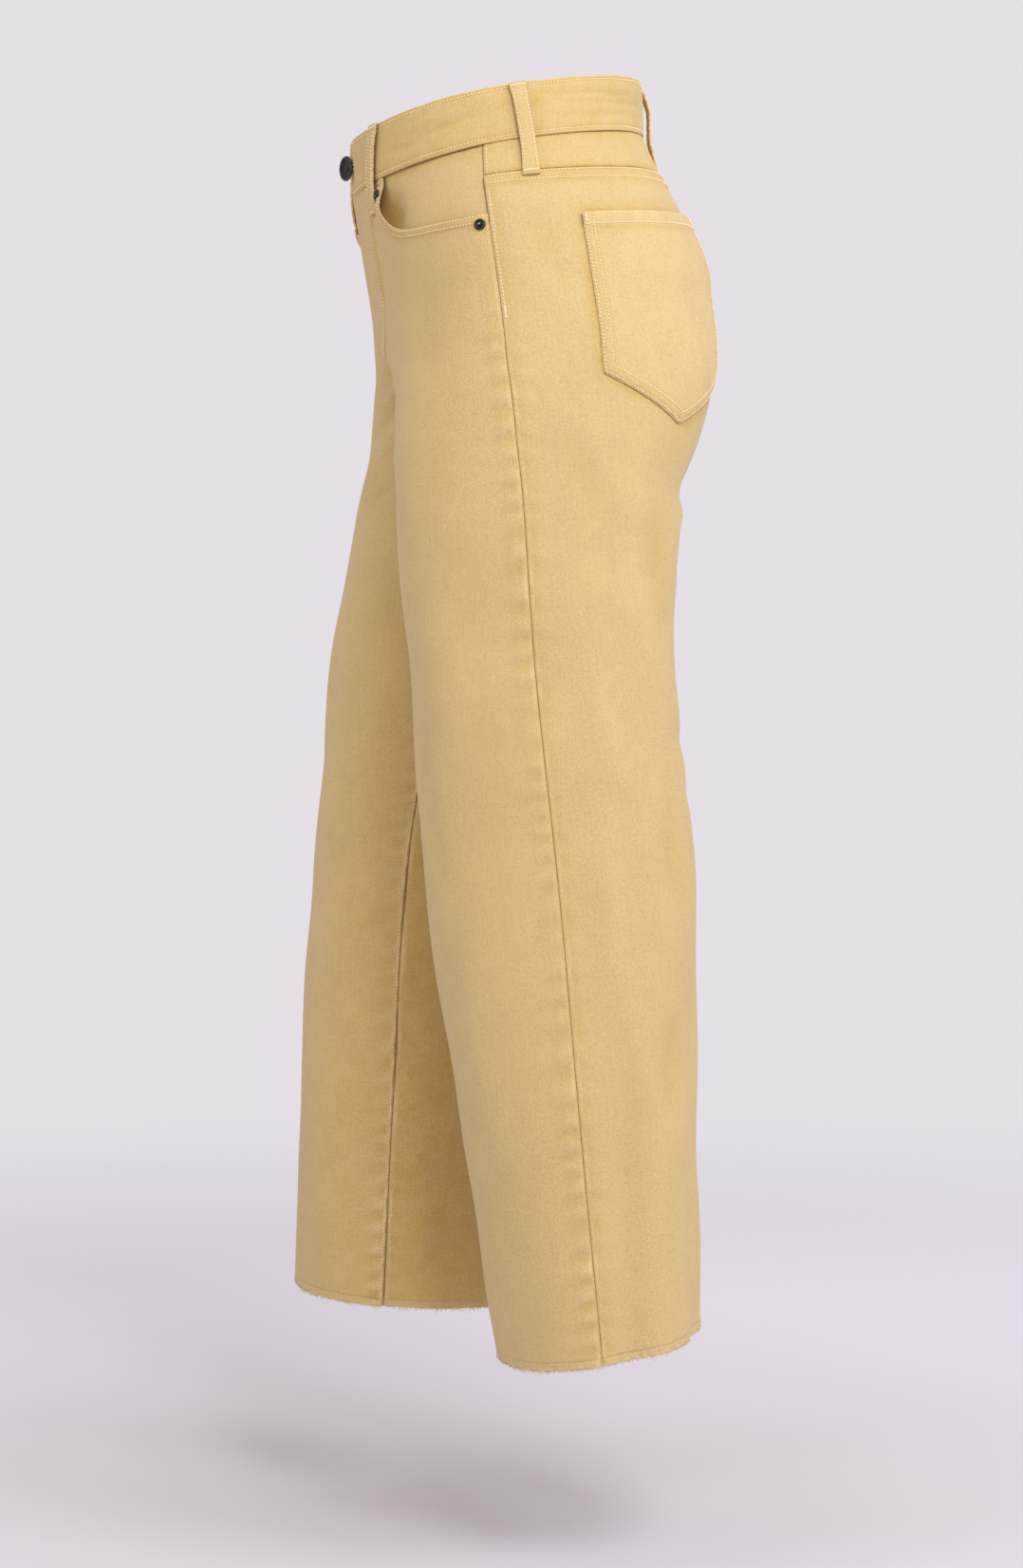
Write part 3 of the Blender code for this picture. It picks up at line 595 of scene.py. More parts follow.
class Bench:
    """The node tree of one material, with the few moves used here."""

    def __init__(self, name):
        self.material = bpy.data.materials.new(name)
        self.material.use_nodes = True
        self.tree = self.material.node_tree
        self.shader = self.tree.nodes["Principled BSDF"]

    def add(self, kind, settings=None, inputs=None, output=0):
        """A node of any kind: its settings first, then the values or links of its sockets."""
        node = self.tree.nodes.new(kind)
        for name, value in (settings or {}).items():
            setattr(node, name, value)
        for name, value in (inputs or {}).items():
            self.feed(node.inputs[name], value)
        return Value(self, node.outputs[output])

    def feed(self, socket, value):
        if isinstance(value, Value):
            self.tree.links.new(value.socket, socket)
        else:
            socket.default_value = value

    def colour(self, factor, first, second, blend="MIX"):
        """Mix of two colours by a factor."""
        return self.add("ShaderNodeMix", {"data_type": "RGBA", "blend_type": blend},
                        {0: factor, 6: first, 7: second}, output=2)

    def scaled(self, vector, scale):
        return self.add("ShaderNodeVectorMath", {"operation": "MULTIPLY"}, {0: vector, 1: scale})

    def noise(self, vector, scale, detail=2.0, rough=0.5):
        return self.add("ShaderNodeTexNoise", {}, {"Vector": vector, "Scale": scale,
                                                   "Detail": detail, "Roughness": rough})

    def spread(self, value, low, high):
        """Stretch the part of a value between low and high to 0..1, with soft ends."""
        return self.add("ShaderNodeMapRange", {"interpolation_type": "SMOOTHSTEP"},
                        {"Value": value, "From Min": low, "From Max": high})

    def place(self):
        """The object's own coordinates, in metres."""
        return self.add("ShaderNodeTexCoord", output=3)

    def relief(self, height, strength, distance):
        return self.add("ShaderNodeBump", {}, {"Strength": strength, "Distance": distance,
                                               "Height": height})

    def set(self, **sockets):
        for name, value in sockets.items():
            self.feed(self.shader.inputs[name.replace("_", " ")], value)
        return self.material


# %% [markdown]
# ### Garment-dyed denim
# The cloth is a bull denim dyed after sewing. Close up it is matt, with a fine upright grain
# from uneven yarns, a faint slanted twill and a soft brushed nap. The dye has settled a little
# deeper and more golden in the seams and worn paler on the ridges, and the whole cloth is
# faintly mottled. Noise that is stretched along the yarns makes the grain, and the two marks of
# the mesh place the seam colours, broken up by more noise. The same two marks also carry painted
# shade in stitch channels, hollows and between the legs, and painted highlight on crests.

# %% Denim
def denim(name, deep_colour, pale_colour):
    bench = Bench(name)
    flat = bench.add("ShaderNodeUVMap", {"uv_map": "cloth"})
    place = bench.place()
    yarn = bench.noise(bench.scaled(flat, (1500.0, 70.0, 1.0)), 1.0, 3.0, 0.6)
    streak = bench.noise(bench.scaled(flat, (420.0, 22.0, 1.0)), 1.0, 2.0, 0.5)
    pick = bench.noise(bench.scaled(flat, (90.0, 1300.0, 1.0)), 1.0, 2.0, 0.5)
    twill = bench.add("ShaderNodeTexWave", {"bands_direction": "DIAGONAL"},
                      {"Vector": bench.scaled(flat, (1.0, 0.7, 0.0)), "Scale": 430.0,
                       "Distortion": 1.2, "Detail": 1.0}, output=1)
    nap = bench.noise(place, 620.0, 3.0, 0.7)
    cloud = bench.noise(place, 26.0, 3.0, 0.55)
    patch = bench.noise(place, 9.0, 2.0, 0.5)
    speck = bench.noise(bench.scaled(flat, (800.0, 420.0, 1.0)), 1.0, 3.0, 0.65)
    light = 0.33 + 0.24 * yarn + 0.10 * streak + 0.08 * pick
    light = light + 0.24 * nap + 0.14 * cloud + 0.48 * speck + 0.10 * twill
    deep_dye_and_shade = bench.add("ShaderNodeAttribute", {"attribute_name": "deep_dye_and_shade"}, output=2)
    rubbed_and_highlight = bench.add("ShaderNodeAttribute", {"attribute_name": "rubbed_and_highlight"}, output=2)
    broken = bench.spread(bench.noise(place, 75.0, 3.0, 0.6), 0.36, 0.66)
    warmer = [c * f for c, f in zip(BASE, (1.03, 1.0, 0.93, 1.0))]
    colour = bench.colour(0.35 * patch, BASE, warmer)
    # The darkening mark is deeper dye and also painted shade. The paling mark is wear and also
    # painted highlight.
    colour = bench.colour(deep_dye_and_shade * (0.40 + 0.55 * broken), colour, deep_colour)
    colour = bench.colour(rubbed_and_highlight * (0.15 + 0.55 * broken), colour, pale_colour)
    shade = bench.add("ShaderNodeCombineColor", {}, {"Red": light, "Green": light, "Blue": light})
    colour = bench.colour(1.0, colour, shade, "MULTIPLY")
    height = 0.5 * twill + 0.6 * yarn + 0.35 * pick + 0.5 * nap
    relief = bench.relief(height, 0.75, 0.0005)
    return bench.set(Base_Color=colour, Roughness=0.80 + 0.14 * nap, Normal=relief,
                     Sheen_Weight=0.22, Sheen_Roughness=0.35, Specular_IOR_Level=0.25,
                     Sheen_Tint=(1.0, 0.96, 0.88, 1.0))


BASE = (0.585, 0.425, 0.183, 1.0)
DENIM = denim("mustard_denim", (0.530, 0.340, 0.083, 1.0), (0.72, 0.54, 0.27, 1.0))
print("denim nodes:", len(DENIM.node_tree.nodes))


# %% [markdown]
# ## Front panels
# A front panel runs from the waist seam and the scooped pocket opening down to the hem. The
# scoop leaves the waist seam steeply, turns round a corner and runs almost level to the side
# seam. If columns simply ran down the cloth they would miss the steep part, so the columns start
# evenly along the whole upper edge and spread to even shares lower down. The left front laps 5
# mm over the right one along the fly, and the right one steps in under it. At the front corner
# of the opening the edge stands off the facing behind it, as a used pocket does.

# %% The scoop and the columns that start on it
SCOOP = ((0.000, 0.0420), (0.150, 0.0420), (0.300, 0.0420), (0.440, 0.0420), (0.4585, 0.0440),
         (0.4630, 0.0520), (0.4645, 0.0620), (0.4700, 0.0735), (0.4840, 0.0838),
         (0.5100, 0.0898), (0.5600, 0.0934), (0.6400, 0.0950), (0.7600, 0.0958),
         (0.8800, 0.0960), (1.0000, 0.0960))
SCOOP_ROWS = (0.0016, 0.0062)
FLY_LAP, LAP_STEP, FLY_TURN = 0.0050, 0.0018, 0.150
PANEL_TOP_ZONE = 0.128
EDGE_STEPS = (0.0, 0.0022, 0.0048, 0.0080, 0.0125, 0.018, 0.026, 0.036, 0.049)
FRONT_COLUMNS = crowded(EDGE_STEPS, 68)


def path_through(points, places):
    """Points along a smooth curve through a few points, at parts 0 to 1 of its length."""
    p = np.array(points)
    p = np.concatenate([2 * p[:1] - p[1:2], p, 2 * p[-1:] - p[-2:-1]])
    fine = []
    for k in range(1, len(p) - 2):
        t = np.linspace(0, 1, 24, endpoint=False)
        fine.append(sum(w[:, None] * p[k + n - 1] for n, w in enumerate(cubic_weights(t))))
    fine = np.concatenate(fine + [p[-2:-1]])
    length = run_along(fine * (SHARE_LENGTH, 1.0))
    length /= length[-1]
    return np.stack([np.interp(places, length, fine[:, k]) for k in range(2)], axis=-1)


def front_grid():
    """Shares and drops of a front panel's grid."""
    edge = path_through(SCOOP, FRONT_COLUMNS)
    close = [0, 0.0006, 0.0014, 0.0026, 0.0042, 0.0062]
    down = np.concatenate([close, np.linspace(0.009, 0.086, 26)])
    down = (down / down[-1])[:, None]
    start = edge[:, 1] + SEAM_GAP
    upper = start + (PANEL_TOP_ZONE - edge[:, 1] - SEAM_GAP) * down
    shares = FRONT_COLUMNS + (edge[:, 0] - FRONT_COLUMNS) * (1 - ease(down))
    lower = np.linspace(PANEL_TOP_ZONE, HEM_DROP - FRAY_STRIP, 230)[1:, None]
    lower, even = np.broadcast_arrays(lower, FRONT_COLUMNS)
    return np.concatenate([upper, lower]), np.concatenate([shares, even])


def scoop_distance(spot):
    """Distance on the cloth from the scooped edge of the pocket opening."""
    edge = path_through(SCOOP, np.linspace(0.36, 1, 150))
    near = cloth_at(spot.side, edge[:, 1], edge[:, 0])
    rim = pairs(near.arc, near.drop)
    away = np.full(spot.drop.shape, 1.0)
    close = spot.drop < 0.16
    here = pairs(spot.arc[close], spot.drop[close])
    away[close] = np.linalg.norm(here[:, None] - rim, axis=-1).min(axis=1)
    return away


def opening_gape(drop, share, away):
    """How far the edge of the pocket opening stands off at its front corner."""
    corner = bell(drop - 0.070, 0.017) * bell(np.maximum(share - 0.475, 0), 0.05)
    return 0.0066 * corner * bell(away, 0.016) * ease((drop - 0.043) / 0.012)


def fly_shift(side, drop, share):
    """Share and height changes of the two fronts beside the fly opening."""
    if side > 0:
        beside = (1 - ease((drop - FLY_DROP + 0.035) / 0.030)) * (1 - ease(share / 0.12))
        width = np.abs(cloth_at(1, drop, 0.0).arc)
        return share - FLY_LAP * beside / width, 0.0 * drop
    beside = 1 - ease((drop - FLY_DROP) / 0.030)
    return share, -LAP_STEP * beside * (1 - ease((share - 0.07) / 0.14))


def fly_height(spot):
    """The double cloth behind the fly shows as a low step inside its J-shaped stitching."""
    if spot.side < 0:
        return 0.0 * spot.drop
    inside = np.abs(spot.arc - cloth_at(1, spot.drop, 0.0).arc) - fly_line(spot.drop)
    step = 0.00085 * (1 - ease((inside - 0.0010) / 0.0016))
    return step * (1 - ease((spot.drop - FLY_DROP) / 0.002))


def fly_line(drop, inward=0.0, least=0.0):
    """Distance of a row of fly stitching from centre front: straight, then a J to the seam."""
    turn = np.clip((drop - FLY_TURN) / (FLY_DROP - inward - FLY_TURN), 0, 1)
    straight = 0.054 - inward - 0.06 * (drop - BAND_DROP)
    return straight * np.sqrt(np.maximum(1 - turn ** 2.2, least))


def front_height(spot, share):
    away = scoop_distance(spot)
    height = panel_height(spot) + opening_gape(spot.drop, share, away)
    height += ledge(away + 0.0008, 0.0074, 0.00105) * (spot.drop < 0.2)
    ripple = np.sin(math.tau * spot.arc / 0.0062 + 3 * np.sin(47 * spot.arc)) * (away < 0.02)
    height += 0.00016 * ripple * bell(away - 0.0038, 0.0030)
    for row in SCOOP_ROWS:
        height -= 0.00042 * bell(away - row, 0.0010)
    waist = spot.drop - BAND_DROP
    height += np.where(share < 0.46, groove(waist, 0.0016, 0.0010), 0.0)
    return height + fly_height(spot), away


# %% Lay the cloth of one part of a half
def laid(part, side, spot, points, marks):
    """A part's cloth in the place of its solid, with UVs of its true cut; the solid is hidden."""
    flat = pairs(spot.arc, -spot.drop)
    piece = cloth_piece(sided(part, side) + "_cloth", points, flat, side, DENIM, marks=marks)
    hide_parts(sided(part, side))
    return piece


# %% Front panels, left and right
def front_panel(side):
    drops, shares = front_grid()
    shifted, step = fly_shift(side, drops, shares)
    gap = SEAM_GAP / 4 / np.abs(cloth_at(side, drops, 0.5).arc)
    spot = cloth_at(side, drops, gap + shifted * (1 - 2 * gap))
    height, away = front_height(spot, shares)
    deep_dye_and_shade, rubbed_and_highlight = wear_and_shade_marks(spot)
    deep_dye_and_shade = most(deep_dye_and_shade, 0.6 * bell(away - 0.004, 0.0055), painted_channel_shade(away, SCOOP_ROWS))
    if side > 0:
        height += 0.0005 * (1 - ease((drops - FLY_DROP) / 0.010)) * bell(shares, 0.02)
        beside_fly = np.abs(cloth_at(1, drops, 0.0).arc - spot.arc)
        fly = bell(beside_fly - fly_line(drops) + 0.003, 0.006)
        deep_dye_and_shade = most(deep_dye_and_shade, fly * (drops < FLY_DROP + 0.004))
    deep_dye_and_shade = most(deep_dye_and_shade, 0.8 * bell(drops - BAND_DROP, 0.005))
    rubbed_and_highlight = most(rubbed_and_highlight, bell(away - 0.0008, 0.0009))
    return laid("front_panel", side, spot, raised(spot, height + step), (deep_dye_and_shade, rubbed_and_highlight))


FRONTS = {side: front_panel(side) for side in (+1, -1)}

# %% [markdown]
# ## Back panels and yokes
# The back of each half is one panel under a shaped yoke. The yoke seam is felled: folded flat
# and sewn twice, so that a raised strip follows it. A grid whose first row follows the seam
# gives a clean edge for the stitches to run along.

# %% Back panels
BACK_COLUMNS = crowded(EDGE_STEPS, 72)


def back_spot(side, drops):
    """Places of the back's columns, which leave the fine gap of a seam at both sides."""
    width = cloth_at(side, drops, 1.5).arc * 2
    gap = SEAM_GAP / 2 / np.maximum(width, 0.05)
    return cloth_at(side, drops, 1 + gap + BACK_COLUMNS * (1 - 2 * gap))


POCKET_TOP, POCKET_CORNER, POCKET_TIP = 0.102, 0.216, 0.250
POCKET_NEAR, POCKET_FAR = (0.068, 0.071), (0.222, 0.214)
POCKET_SLOPE = 0.91


def pocket_sides(drop):
    """Distances of a pocket's two sides from the side seam."""
    level = np.clip((drop - POCKET_TOP) / (POCKET_CORNER - POCKET_TOP), 0, 1)
    return [top + (corner - top) * level for top, corner in (POCKET_NEAR, POCKET_FAR)]


def pocket_lowest(over):
    """Drop of a pocket's pointed lower edge, for a part 0 to 1 of the way across."""
    return POCKET_CORNER + (POCKET_TIP - POCKET_CORNER) * (1 - np.abs(2 * over - 1))


def beside_pocket(spot):
    """Darker just outside the edge of a back pocket, as painted shade beside its raised rim and as
    deeper dye.
    """
    near, far = pocket_sides(spot.drop)
    lowest = pocket_lowest(np.clip((spot.arc - near) / (far - near), 0, 1))
    outside = most(near - spot.arc, spot.arc - far, POCKET_SLOPE * (spot.drop - lowest),
                   POCKET_TOP - spot.drop, 0)
    return 0.85 * bell(outside, 0.0055)


def back_panel(side):
    top = yoke_seam_drop(1 + BACK_COLUMNS) + SEAM_GAP
    first = np.array([0, 0.0006, 0.0013, 0.0022, 0.0034, 0.0050, 0.0068, 0.0084, 0.0096, 0.0110])
    rest = np.linspace(0, 1, 236)[1:, None]
    lower = top + first[-1] + (HEM_DROP - FRAY_STRIP - top - first[-1]) * rest
    drops = np.concatenate([top + first[:, None], lower])
    spot = back_spot(side, drops)
    deep_dye_and_shade, rubbed_and_highlight = wear_and_shade_marks(spot)
    deep_dye_and_shade = most(deep_dye_and_shade, beside_pocket(spot) * (1 - rubbed_and_highlight))
    return laid("back_panel", side, spot, raised(spot, panel_height(spot)), (deep_dye_and_shade, rubbed_and_highlight))


BACKS = {side: back_panel(side) for side in (+1, -1)}


# %% Yokes
def yoke_height(spot):
    waist = spot.drop - BAND_DROP
    below = yoke_seam_drop(spot.share) - spot.drop
    height = soft_height(spot.side, spot.drop, spot.arc) + groove(np.abs(spot.arc))
    height += groove(waist, 0.0016, 0.0010) + groove(below, 0.0010, 0.0006)
    middle = ledge(spot.inner, *CENTRE_LEDGE) if spot.side > 0 else 0.0
    return height + middle + groove(spot.inner)


def yoke(side):
    down = crowded((0.0, 0.03, 0.07, 0.12, 0.19), 10)[:, None]
    top = BAND_DROP + SEAM_GAP
    spot = back_spot(side, top + (yoke_seam_drop(1 + BACK_COLUMNS) - top) * down)
    edge = bell(yoke_seam_drop(spot.share) - spot.drop, 0.003)
    deep_dye_and_shade = most(edge, bell(spot.drop - BAND_DROP, 0.004)) * 0.6 + 0.3
    rubbed_and_highlight = bell(np.abs(spot.arc) - 0.002, 0.0012) * 0.7
    laid("yoke", side, spot, raised(spot, yoke_height(spot)), (deep_dye_and_shade, rubbed_and_highlight))


for half_side in (+1, -1):
    yoke(half_side)

# %% [markdown]
# ## Pocket facings
# Inside each scooped opening a piece of the same cloth closes the view. It lies just behind the
# front panel, so it is the same surface moved inwards by the panel's wall and a little air.

# %% Facings
FACING_INSET = -(CLOTH_WALL + 0.0005)


def pocket_facing(side):
    shares = np.linspace(0.37, 0.9985, 44)
    drops = np.linspace(BAND_DROP + SEAM_GAP, 0.116, 26)[:, None]
    spot = cloth_at(side, drops, shares)
    hollow = -0.0062 * np.exp(-((drops - 0.078) / 0.018) ** 2 - ((shares - 0.50) / 0.075) ** 2)
    height = soft_height(side, drops, spot.arc) + FACING_INSET + hollow
    # Painted shade inside the pocket's mouth, darkest towards the opening's front corner, and
    # darker along the waist seam.
    inside = bell(shares - 0.455, 0.075) * ease((drops - 0.046) / 0.02)
    deep_dye_and_shade = most(inside, bell(drops - BAND_DROP, 0.006))
    laid("pocket_facing", side, spot, raised(spot, height), (deep_dye_and_shade, 0 * deep_dye_and_shade))


for half_side in (+1, -1):
    pocket_facing(half_side)


# %% [markdown]
# ## Waistband
# The band is one strip, folded double and 42 mm deep, that holds the whole garment. Its left end
# laps 18 mm past centre front over its right end and carries the button. A folded band has soft
# round edges, so it isn't a plain thick sheet: its closed outline, out, over the top, down the
# inside and back, is carried round the waist. The stitch rows press shallow channels into it,
# and where it bends at each step it keeps a few level creases.

# %% Outline and creases of the band
BAND_WALL, BAND_LAP, BAND_STEP, LAID_GAP = 0.0024, 0.0180, 0.0031, 0.0005
BAND_ROWS = (0.0031, 0.0389)
# share round the waist, drop, half length as a share, half width, height, slope
BAND_CREASES = (
    (1.36, 0.0130, 0.200, 0.0022, -0.00070, 0.010),
    (1.50, 0.0205, 0.260, 0.0025, -0.00060, 0.006),
    (1.66, 0.0110, 0.180, 0.0020, 0.00045, -0.004),
    (1.45, 0.0300, 0.220, 0.0026, -0.00045, 0.004),
    (0.84, 0.0215, 0.150, 0.0026, -0.00065, -0.022),
    (0.72, 0.0140, 0.120, 0.0024, 0.00035, -0.018),
    (0.58, 0.0270, 0.130, 0.0024, -0.00045, 0.012),
    (2.40, 0.0160, 0.240, 0.0024, -0.00065, -0.006),
    (2.62, 0.0255, 0.200, 0.0024, -0.00050, 0.010),
    (3.20, 0.0190, 0.180, 0.0024, -0.00060, 0.014),
    (3.42, 0.0280, 0.140, 0.0024, -0.00040, -0.010),
)
BAND_CREASE_STRENGTH = 1.8


def band_height(around, drop):
    """Height of the band's face over its plain outline."""
    middle = BAND_DROP / 2
    height = 0.0004 * (1 - ((drop - middle) / middle) ** 2)
    height = height + 0.00035 * np.sin(17 * around + 90 * drop) * np.sin(7.3 * around + 1.0)
    for place, at_drop, half_length, half_width, peak, slope in BAND_CREASES:
        over = drop - at_drop - slope * (around - place)
        shape = np.exp(-((around - place) / half_length) ** 4 - (over / half_width) ** 2)
        height += BAND_CREASE_STRENGTH * peak * shape
    for row in BAND_ROWS:
        height -= 0.00050 * bell(drop - row, 0.0011)
    length = around * SHARE_LENGTH
    nip = np.sin(math.tau * length / 0.0088 + 2.2 * np.sin(31 * length))
    edge = bell(drop - 0.0405, 0.0022) + 0.6 * bell(drop - 0.0015, 0.0018)
    return height + 0.00020 * nip * edge


def band_step(around):
    """The right end of the band steps in to pass under the left one."""
    return -BAND_STEP * ease((around - 3.55) / 0.33)


def band_outline():
    """Drop and lift of the folded band's outline, up the outer face and down the inner one."""
    round_off = BAND_WALL / 2
    outer = np.concatenate([np.linspace(BAND_DROP - round_off, 0.0380, 5),
                            np.linspace(0.0360, 0.0060, 15), np.linspace(0.0044, round_off, 5)])
    turn = np.radians(np.linspace(30, 150, 5))
    top = pairs(round_off - round_off * np.sin(turn), -round_off + round_off * np.cos(turn))
    bottom = pairs(BAND_DROP - top[::-1, 0], top[::-1, 1])
    inner = np.linspace(round_off, BAND_DROP - round_off, 10)
    return np.concatenate([pairs(outer, 0 * outer), top,
                           pairs(inner, 0 * inner - BAND_WALL), bottom])


# %% Waistband
def ring_faces(count, columns, flip=False):
    """Faces of an outline of count points carried along columns, with a cap at each end."""
    corner = np.arange(count * columns).reshape(count, columns)
    nxt = np.roll(corner, -1, axis=0)
    faces = np.stack([corner[:, :-1], nxt[:, :-1], nxt[:, 1:], corner[:, 1:]], axis=-1)
    faces = faces.reshape(-1, 4)[:, ::-1] if flip else faces.reshape(-1, 4)
    caps = [corner[:, 0].tolist(), corner[::-1, -1].tolist()]
    return faces.tolist() + ([c[::-1] for c in caps] if flip else caps)


def waistband():
    lap = BAND_LAP / abs(float(cloth_at(1, 0.0, 0.0).arc))
    around = np.linspace(-lap, 4 + lap, 268)
    outline = band_outline()
    drops, places = np.broadcast_arrays(outline[:, :1], around)
    spot = cloth_at(1, drops, places)
    relief = band_height(places, drops)
    points = raised(spot, outline[:, 1:] + band_step(places) + LAID_GAP + relief)
    along = np.broadcast_to(run_along(points, axis=1), drops.shape)
    flat = pairs(along, -drops - 0.1 * (outline[:, 1:] < -BAND_WALL / 2))
    # The band is a little darker all over, darker along its upper and lower edges, and darker in
    # its creases and stitch channels as painted shade.
    hollow = np.clip((-relief - 0.0002) / 0.0009, 0, 1)
    edges = most(bell(drops - 0.0400, 0.0026), bell(drops - 0.002, 0.0022))
    deep_dye_and_shade = 0.35 + 0.65 * most(edges, 0.8 * hollow)
    # Painted shade beside each belt loop, where the loop shades the band.
    for loop_place in (0.375, 1.125, 2.875, 3.625):
        beside = bell(np.abs(places - loop_place) - 0.050, 0.028)
        painted_loop_shade = beside * (0.6 + 0.4 * np.sin(260 * drops + 9 * loop_place))
        deep_dye_and_shade = most(deep_dye_and_shade, 0.85 * painted_loop_shade)
    rubbed_and_highlight = bell(drops - 0.0008, 0.0009) + 0.7 * bell(drops - 0.0412, 0.0009)
    faces = ring_faces(*drops.shape, flip=True)
    band = new_piece("waistband_cloth", points.reshape(-1, 3), faces, DENIM,
                     flat.reshape(-1, 2), deep_dye_and_shade, np.minimum(rubbed_and_highlight, 1.0))
    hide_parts("waistband")
    print(band.name, "faces:", len(faces), "length:", round(float(along.max()), 3))
    return lap


BAND_LAP_SHARE = waistband()

# %% [markdown]
# ## Belt loops
# A belt loop is a narrow strip with folded edges. It is sewn down at its two ends, over the
# band's top edge and just below the band, and stands off a little between them so that a belt
# can pass. Five of them sit round the waist. Each is an outline carried along a path on the
# cloth that rises and falls.

# %% Belt loops
LOOPS = (
    ("belt_loop_front_left", +1, 0.400, 0.350, 0.0022),
    ("belt_loop_front_right", -1, 0.400, 0.350, 0.0022),
    ("belt_loop_side_left", +1, 1.105, 1.145, 0.0022),
    ("belt_loop_side_right", -1, 1.105, 1.145, 0.0022),
    ("belt_loop_back", +1, 2.000, 2.000, 0.0080),
)
LOOP_WIDTH, LOOP_LENGTH, LOOP_WALL, LOOP_END_DROP = 0.0110, 0.0715, 0.0016, 0.071
LOOP_RISE = ((0.0005, 0.10), (0.0060, 0.55), (0.020, 1.0), (0.045, 0.92), (0.062, 0.45),
             (0.0665, 0.06), (LOOP_LENGTH, 0.0))
LOOP_ROW, LOOP_FOLD = 0.36, 0.47


def loop_point(loop, drop, over):
    """A place on a loop: drop down it and over across it, -0.5 to 0.5."""
    _, side, share_top, share_end, stand_off = loop
    drop, over = matched(drop, over)
    down = drop / LOOP_END_DROP
    stand = smooth_read(drop, *np.array(LOOP_RISE).T) * stand_off
    share = share_top + (share_end - share_top) * drop / LOOP_END_DROP
    if share_top < 2 and share_top > 1:
        share = share + 0.016 * np.sin(math.pi * drop / LOOP_END_DROP) - 0.008 * down
    waist = 1 + 0.10 * bell(drop - 0.004, 0.006) + 0.16 * ease((drop - 0.05) / 0.02)
    width = LOOP_WIDTH * waist / np.abs(cloth_at(side, drop, np.where(share > 1, 2.0, 0.0)).arc)
    spot = cloth_at(side, drop, share + over * width)
    lift = 2 * LAID_GAP + LOOP_WALL + stand + 0.0003 * (1 - (2 * over) ** 2)
    crumple = np.sin(math.tau * drop / 0.0052 + 3 * over + share_top * 9)
    crumple = crumple * np.sin(410 * drop + 2 * over)
    lift += 0.00022 * crumple * (0.4 + 2 * np.abs(over))
    for edge in (-LOOP_ROW, LOOP_ROW):
        lift -= 0.00018 * bell(over - edge, 0.05)
    for tack, reach in ((0.0030, 0.0028), (0.0688, 0.0026)):
        lift += 0.0008 * np.exp(-((drop - tack) / reach) ** 4)
    return raised(spot, lift), spot.out


def belt_loop(loop):
    turn = np.radians(np.linspace(15, 165, 6))
    fold = pairs(LOOP_FOLD + 0.03 * np.sin(turn), -0.5 + 0.5 * np.cos(turn))
    face = pairs(np.linspace(-0.46, 0.46, 13), 0.0)
    under = pairs(np.linspace(0.44, -0.44, 5), -1.0)
    outline = np.concatenate([face, fold, under, fold[::-1] * (-1, 1)])
    over, depth = outline[:, :1], outline[:, 1:]
    drops = np.concatenate([[0.0005, 0.0011, 0.002, 0.003], np.linspace(0.0045, 0.065, 30),
                            [0.0665, 0.068, 0.0695, 0.0707, 0.0713]])
    points, out = loop_point(loop, drops, over)
    points = points + out * (depth * LOOP_WALL)[..., None]
    flat = pairs(over * LOOP_WIDTH, -drops)
    # Painted shade along the stitch rows, and darker at the lower end. The folded edges pale with
    # wear.
    deep_dye_and_shade = most(0.7 * bell(np.abs(over) - LOOP_ROW, 0.07), bell(drops - 0.069, 0.003))
    edge = np.broadcast_to(bell(np.abs(over) - LOOP_FOLD, 0.05), deep_dye_and_shade.shape)
    faces = ring_faces(len(outline), len(drops), flip=loop[1] > 0)
    piece = new_piece(loop[0] + "_cloth", points.reshape(-1, 3), faces, DENIM,
                      flat.reshape(-1, 2), deep_dye_and_shade, 0.8 * edge)
    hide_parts(loop[0])


for loop_row in LOOPS:
    belt_loop(loop_row)

# %% [markdown]
# ## Back pockets
# Each back pocket is a patch with a pointed lower edge, its sides folded under and sewn twice
# and its top folded into a hem. The folded edges stand up as a rim, the middle is a little full,
# and the hem waves slightly away from the seat because a pocket's mouth is longer than the cloth
# it covers.

# %% Back pockets
POCKET_GAP, POCKET_HEM = 0.0008, 0.0098
POCKET_ROWS = (0.0017, 0.0076)
POCKET_WIDTH = 0.150


def pocket_nip(side, drop, over, rim):
    return pucker(drop + 0.3 * over, rim + 0.002, 0.0085, 0.0105, 1.7 + side)


def pocket_point(side, over, down):
    """A point on a pocket's face with its direction, and its distances from the edges."""
    over, down = matched(over, down)
    lowest = pocket_lowest(over)
    drop = POCKET_TOP + (lowest - POCKET_TOP) * down
    near, far = pocket_sides(drop)
    share = 1 + (near + (far - near) * over) / cloth_at(side, drop, 2.0).arc
    spot = cloth_at(side, drop, share)
    above = drop - POCKET_TOP
    rim = np.minimum(np.minimum(over, 1 - over) * (far - near), (lowest - drop) * POCKET_SLOPE)
    height = soft_height(side, drop, spot.arc) + POCKET_GAP + CLOTH_WALL
    height += 0.0010 * np.sin(math.pi * over) * np.sin(math.pi * np.clip(down, 0, 1)) ** 0.5
    height += ledge(rim + 0.0008, 0.0084, 0.00055) - 0.0009 * bell(rim, 0.0012)
    height += 0.00080 * (1 - ease((above - POCKET_HEM) / 0.0012))
    mouth = np.sin(math.pi * over) * bell(above, 0.014)
    height += mouth * (0.0011 + 0.0008 * np.sin(9.5 * over + side))
    for row in POCKET_ROWS:
        height -= 0.00034 * bell(rim - row, 0.0011) * (above > 0.001)
    height -= (POCKET_GAP - 0.0001) * bell(rim, 0.0045) * ease((above - 0.004) / 0.006)
    height += 0.00050 * pocket_nip(side, drop, over, rim)
    return raised(spot, height), spot.out, rim, above, spot


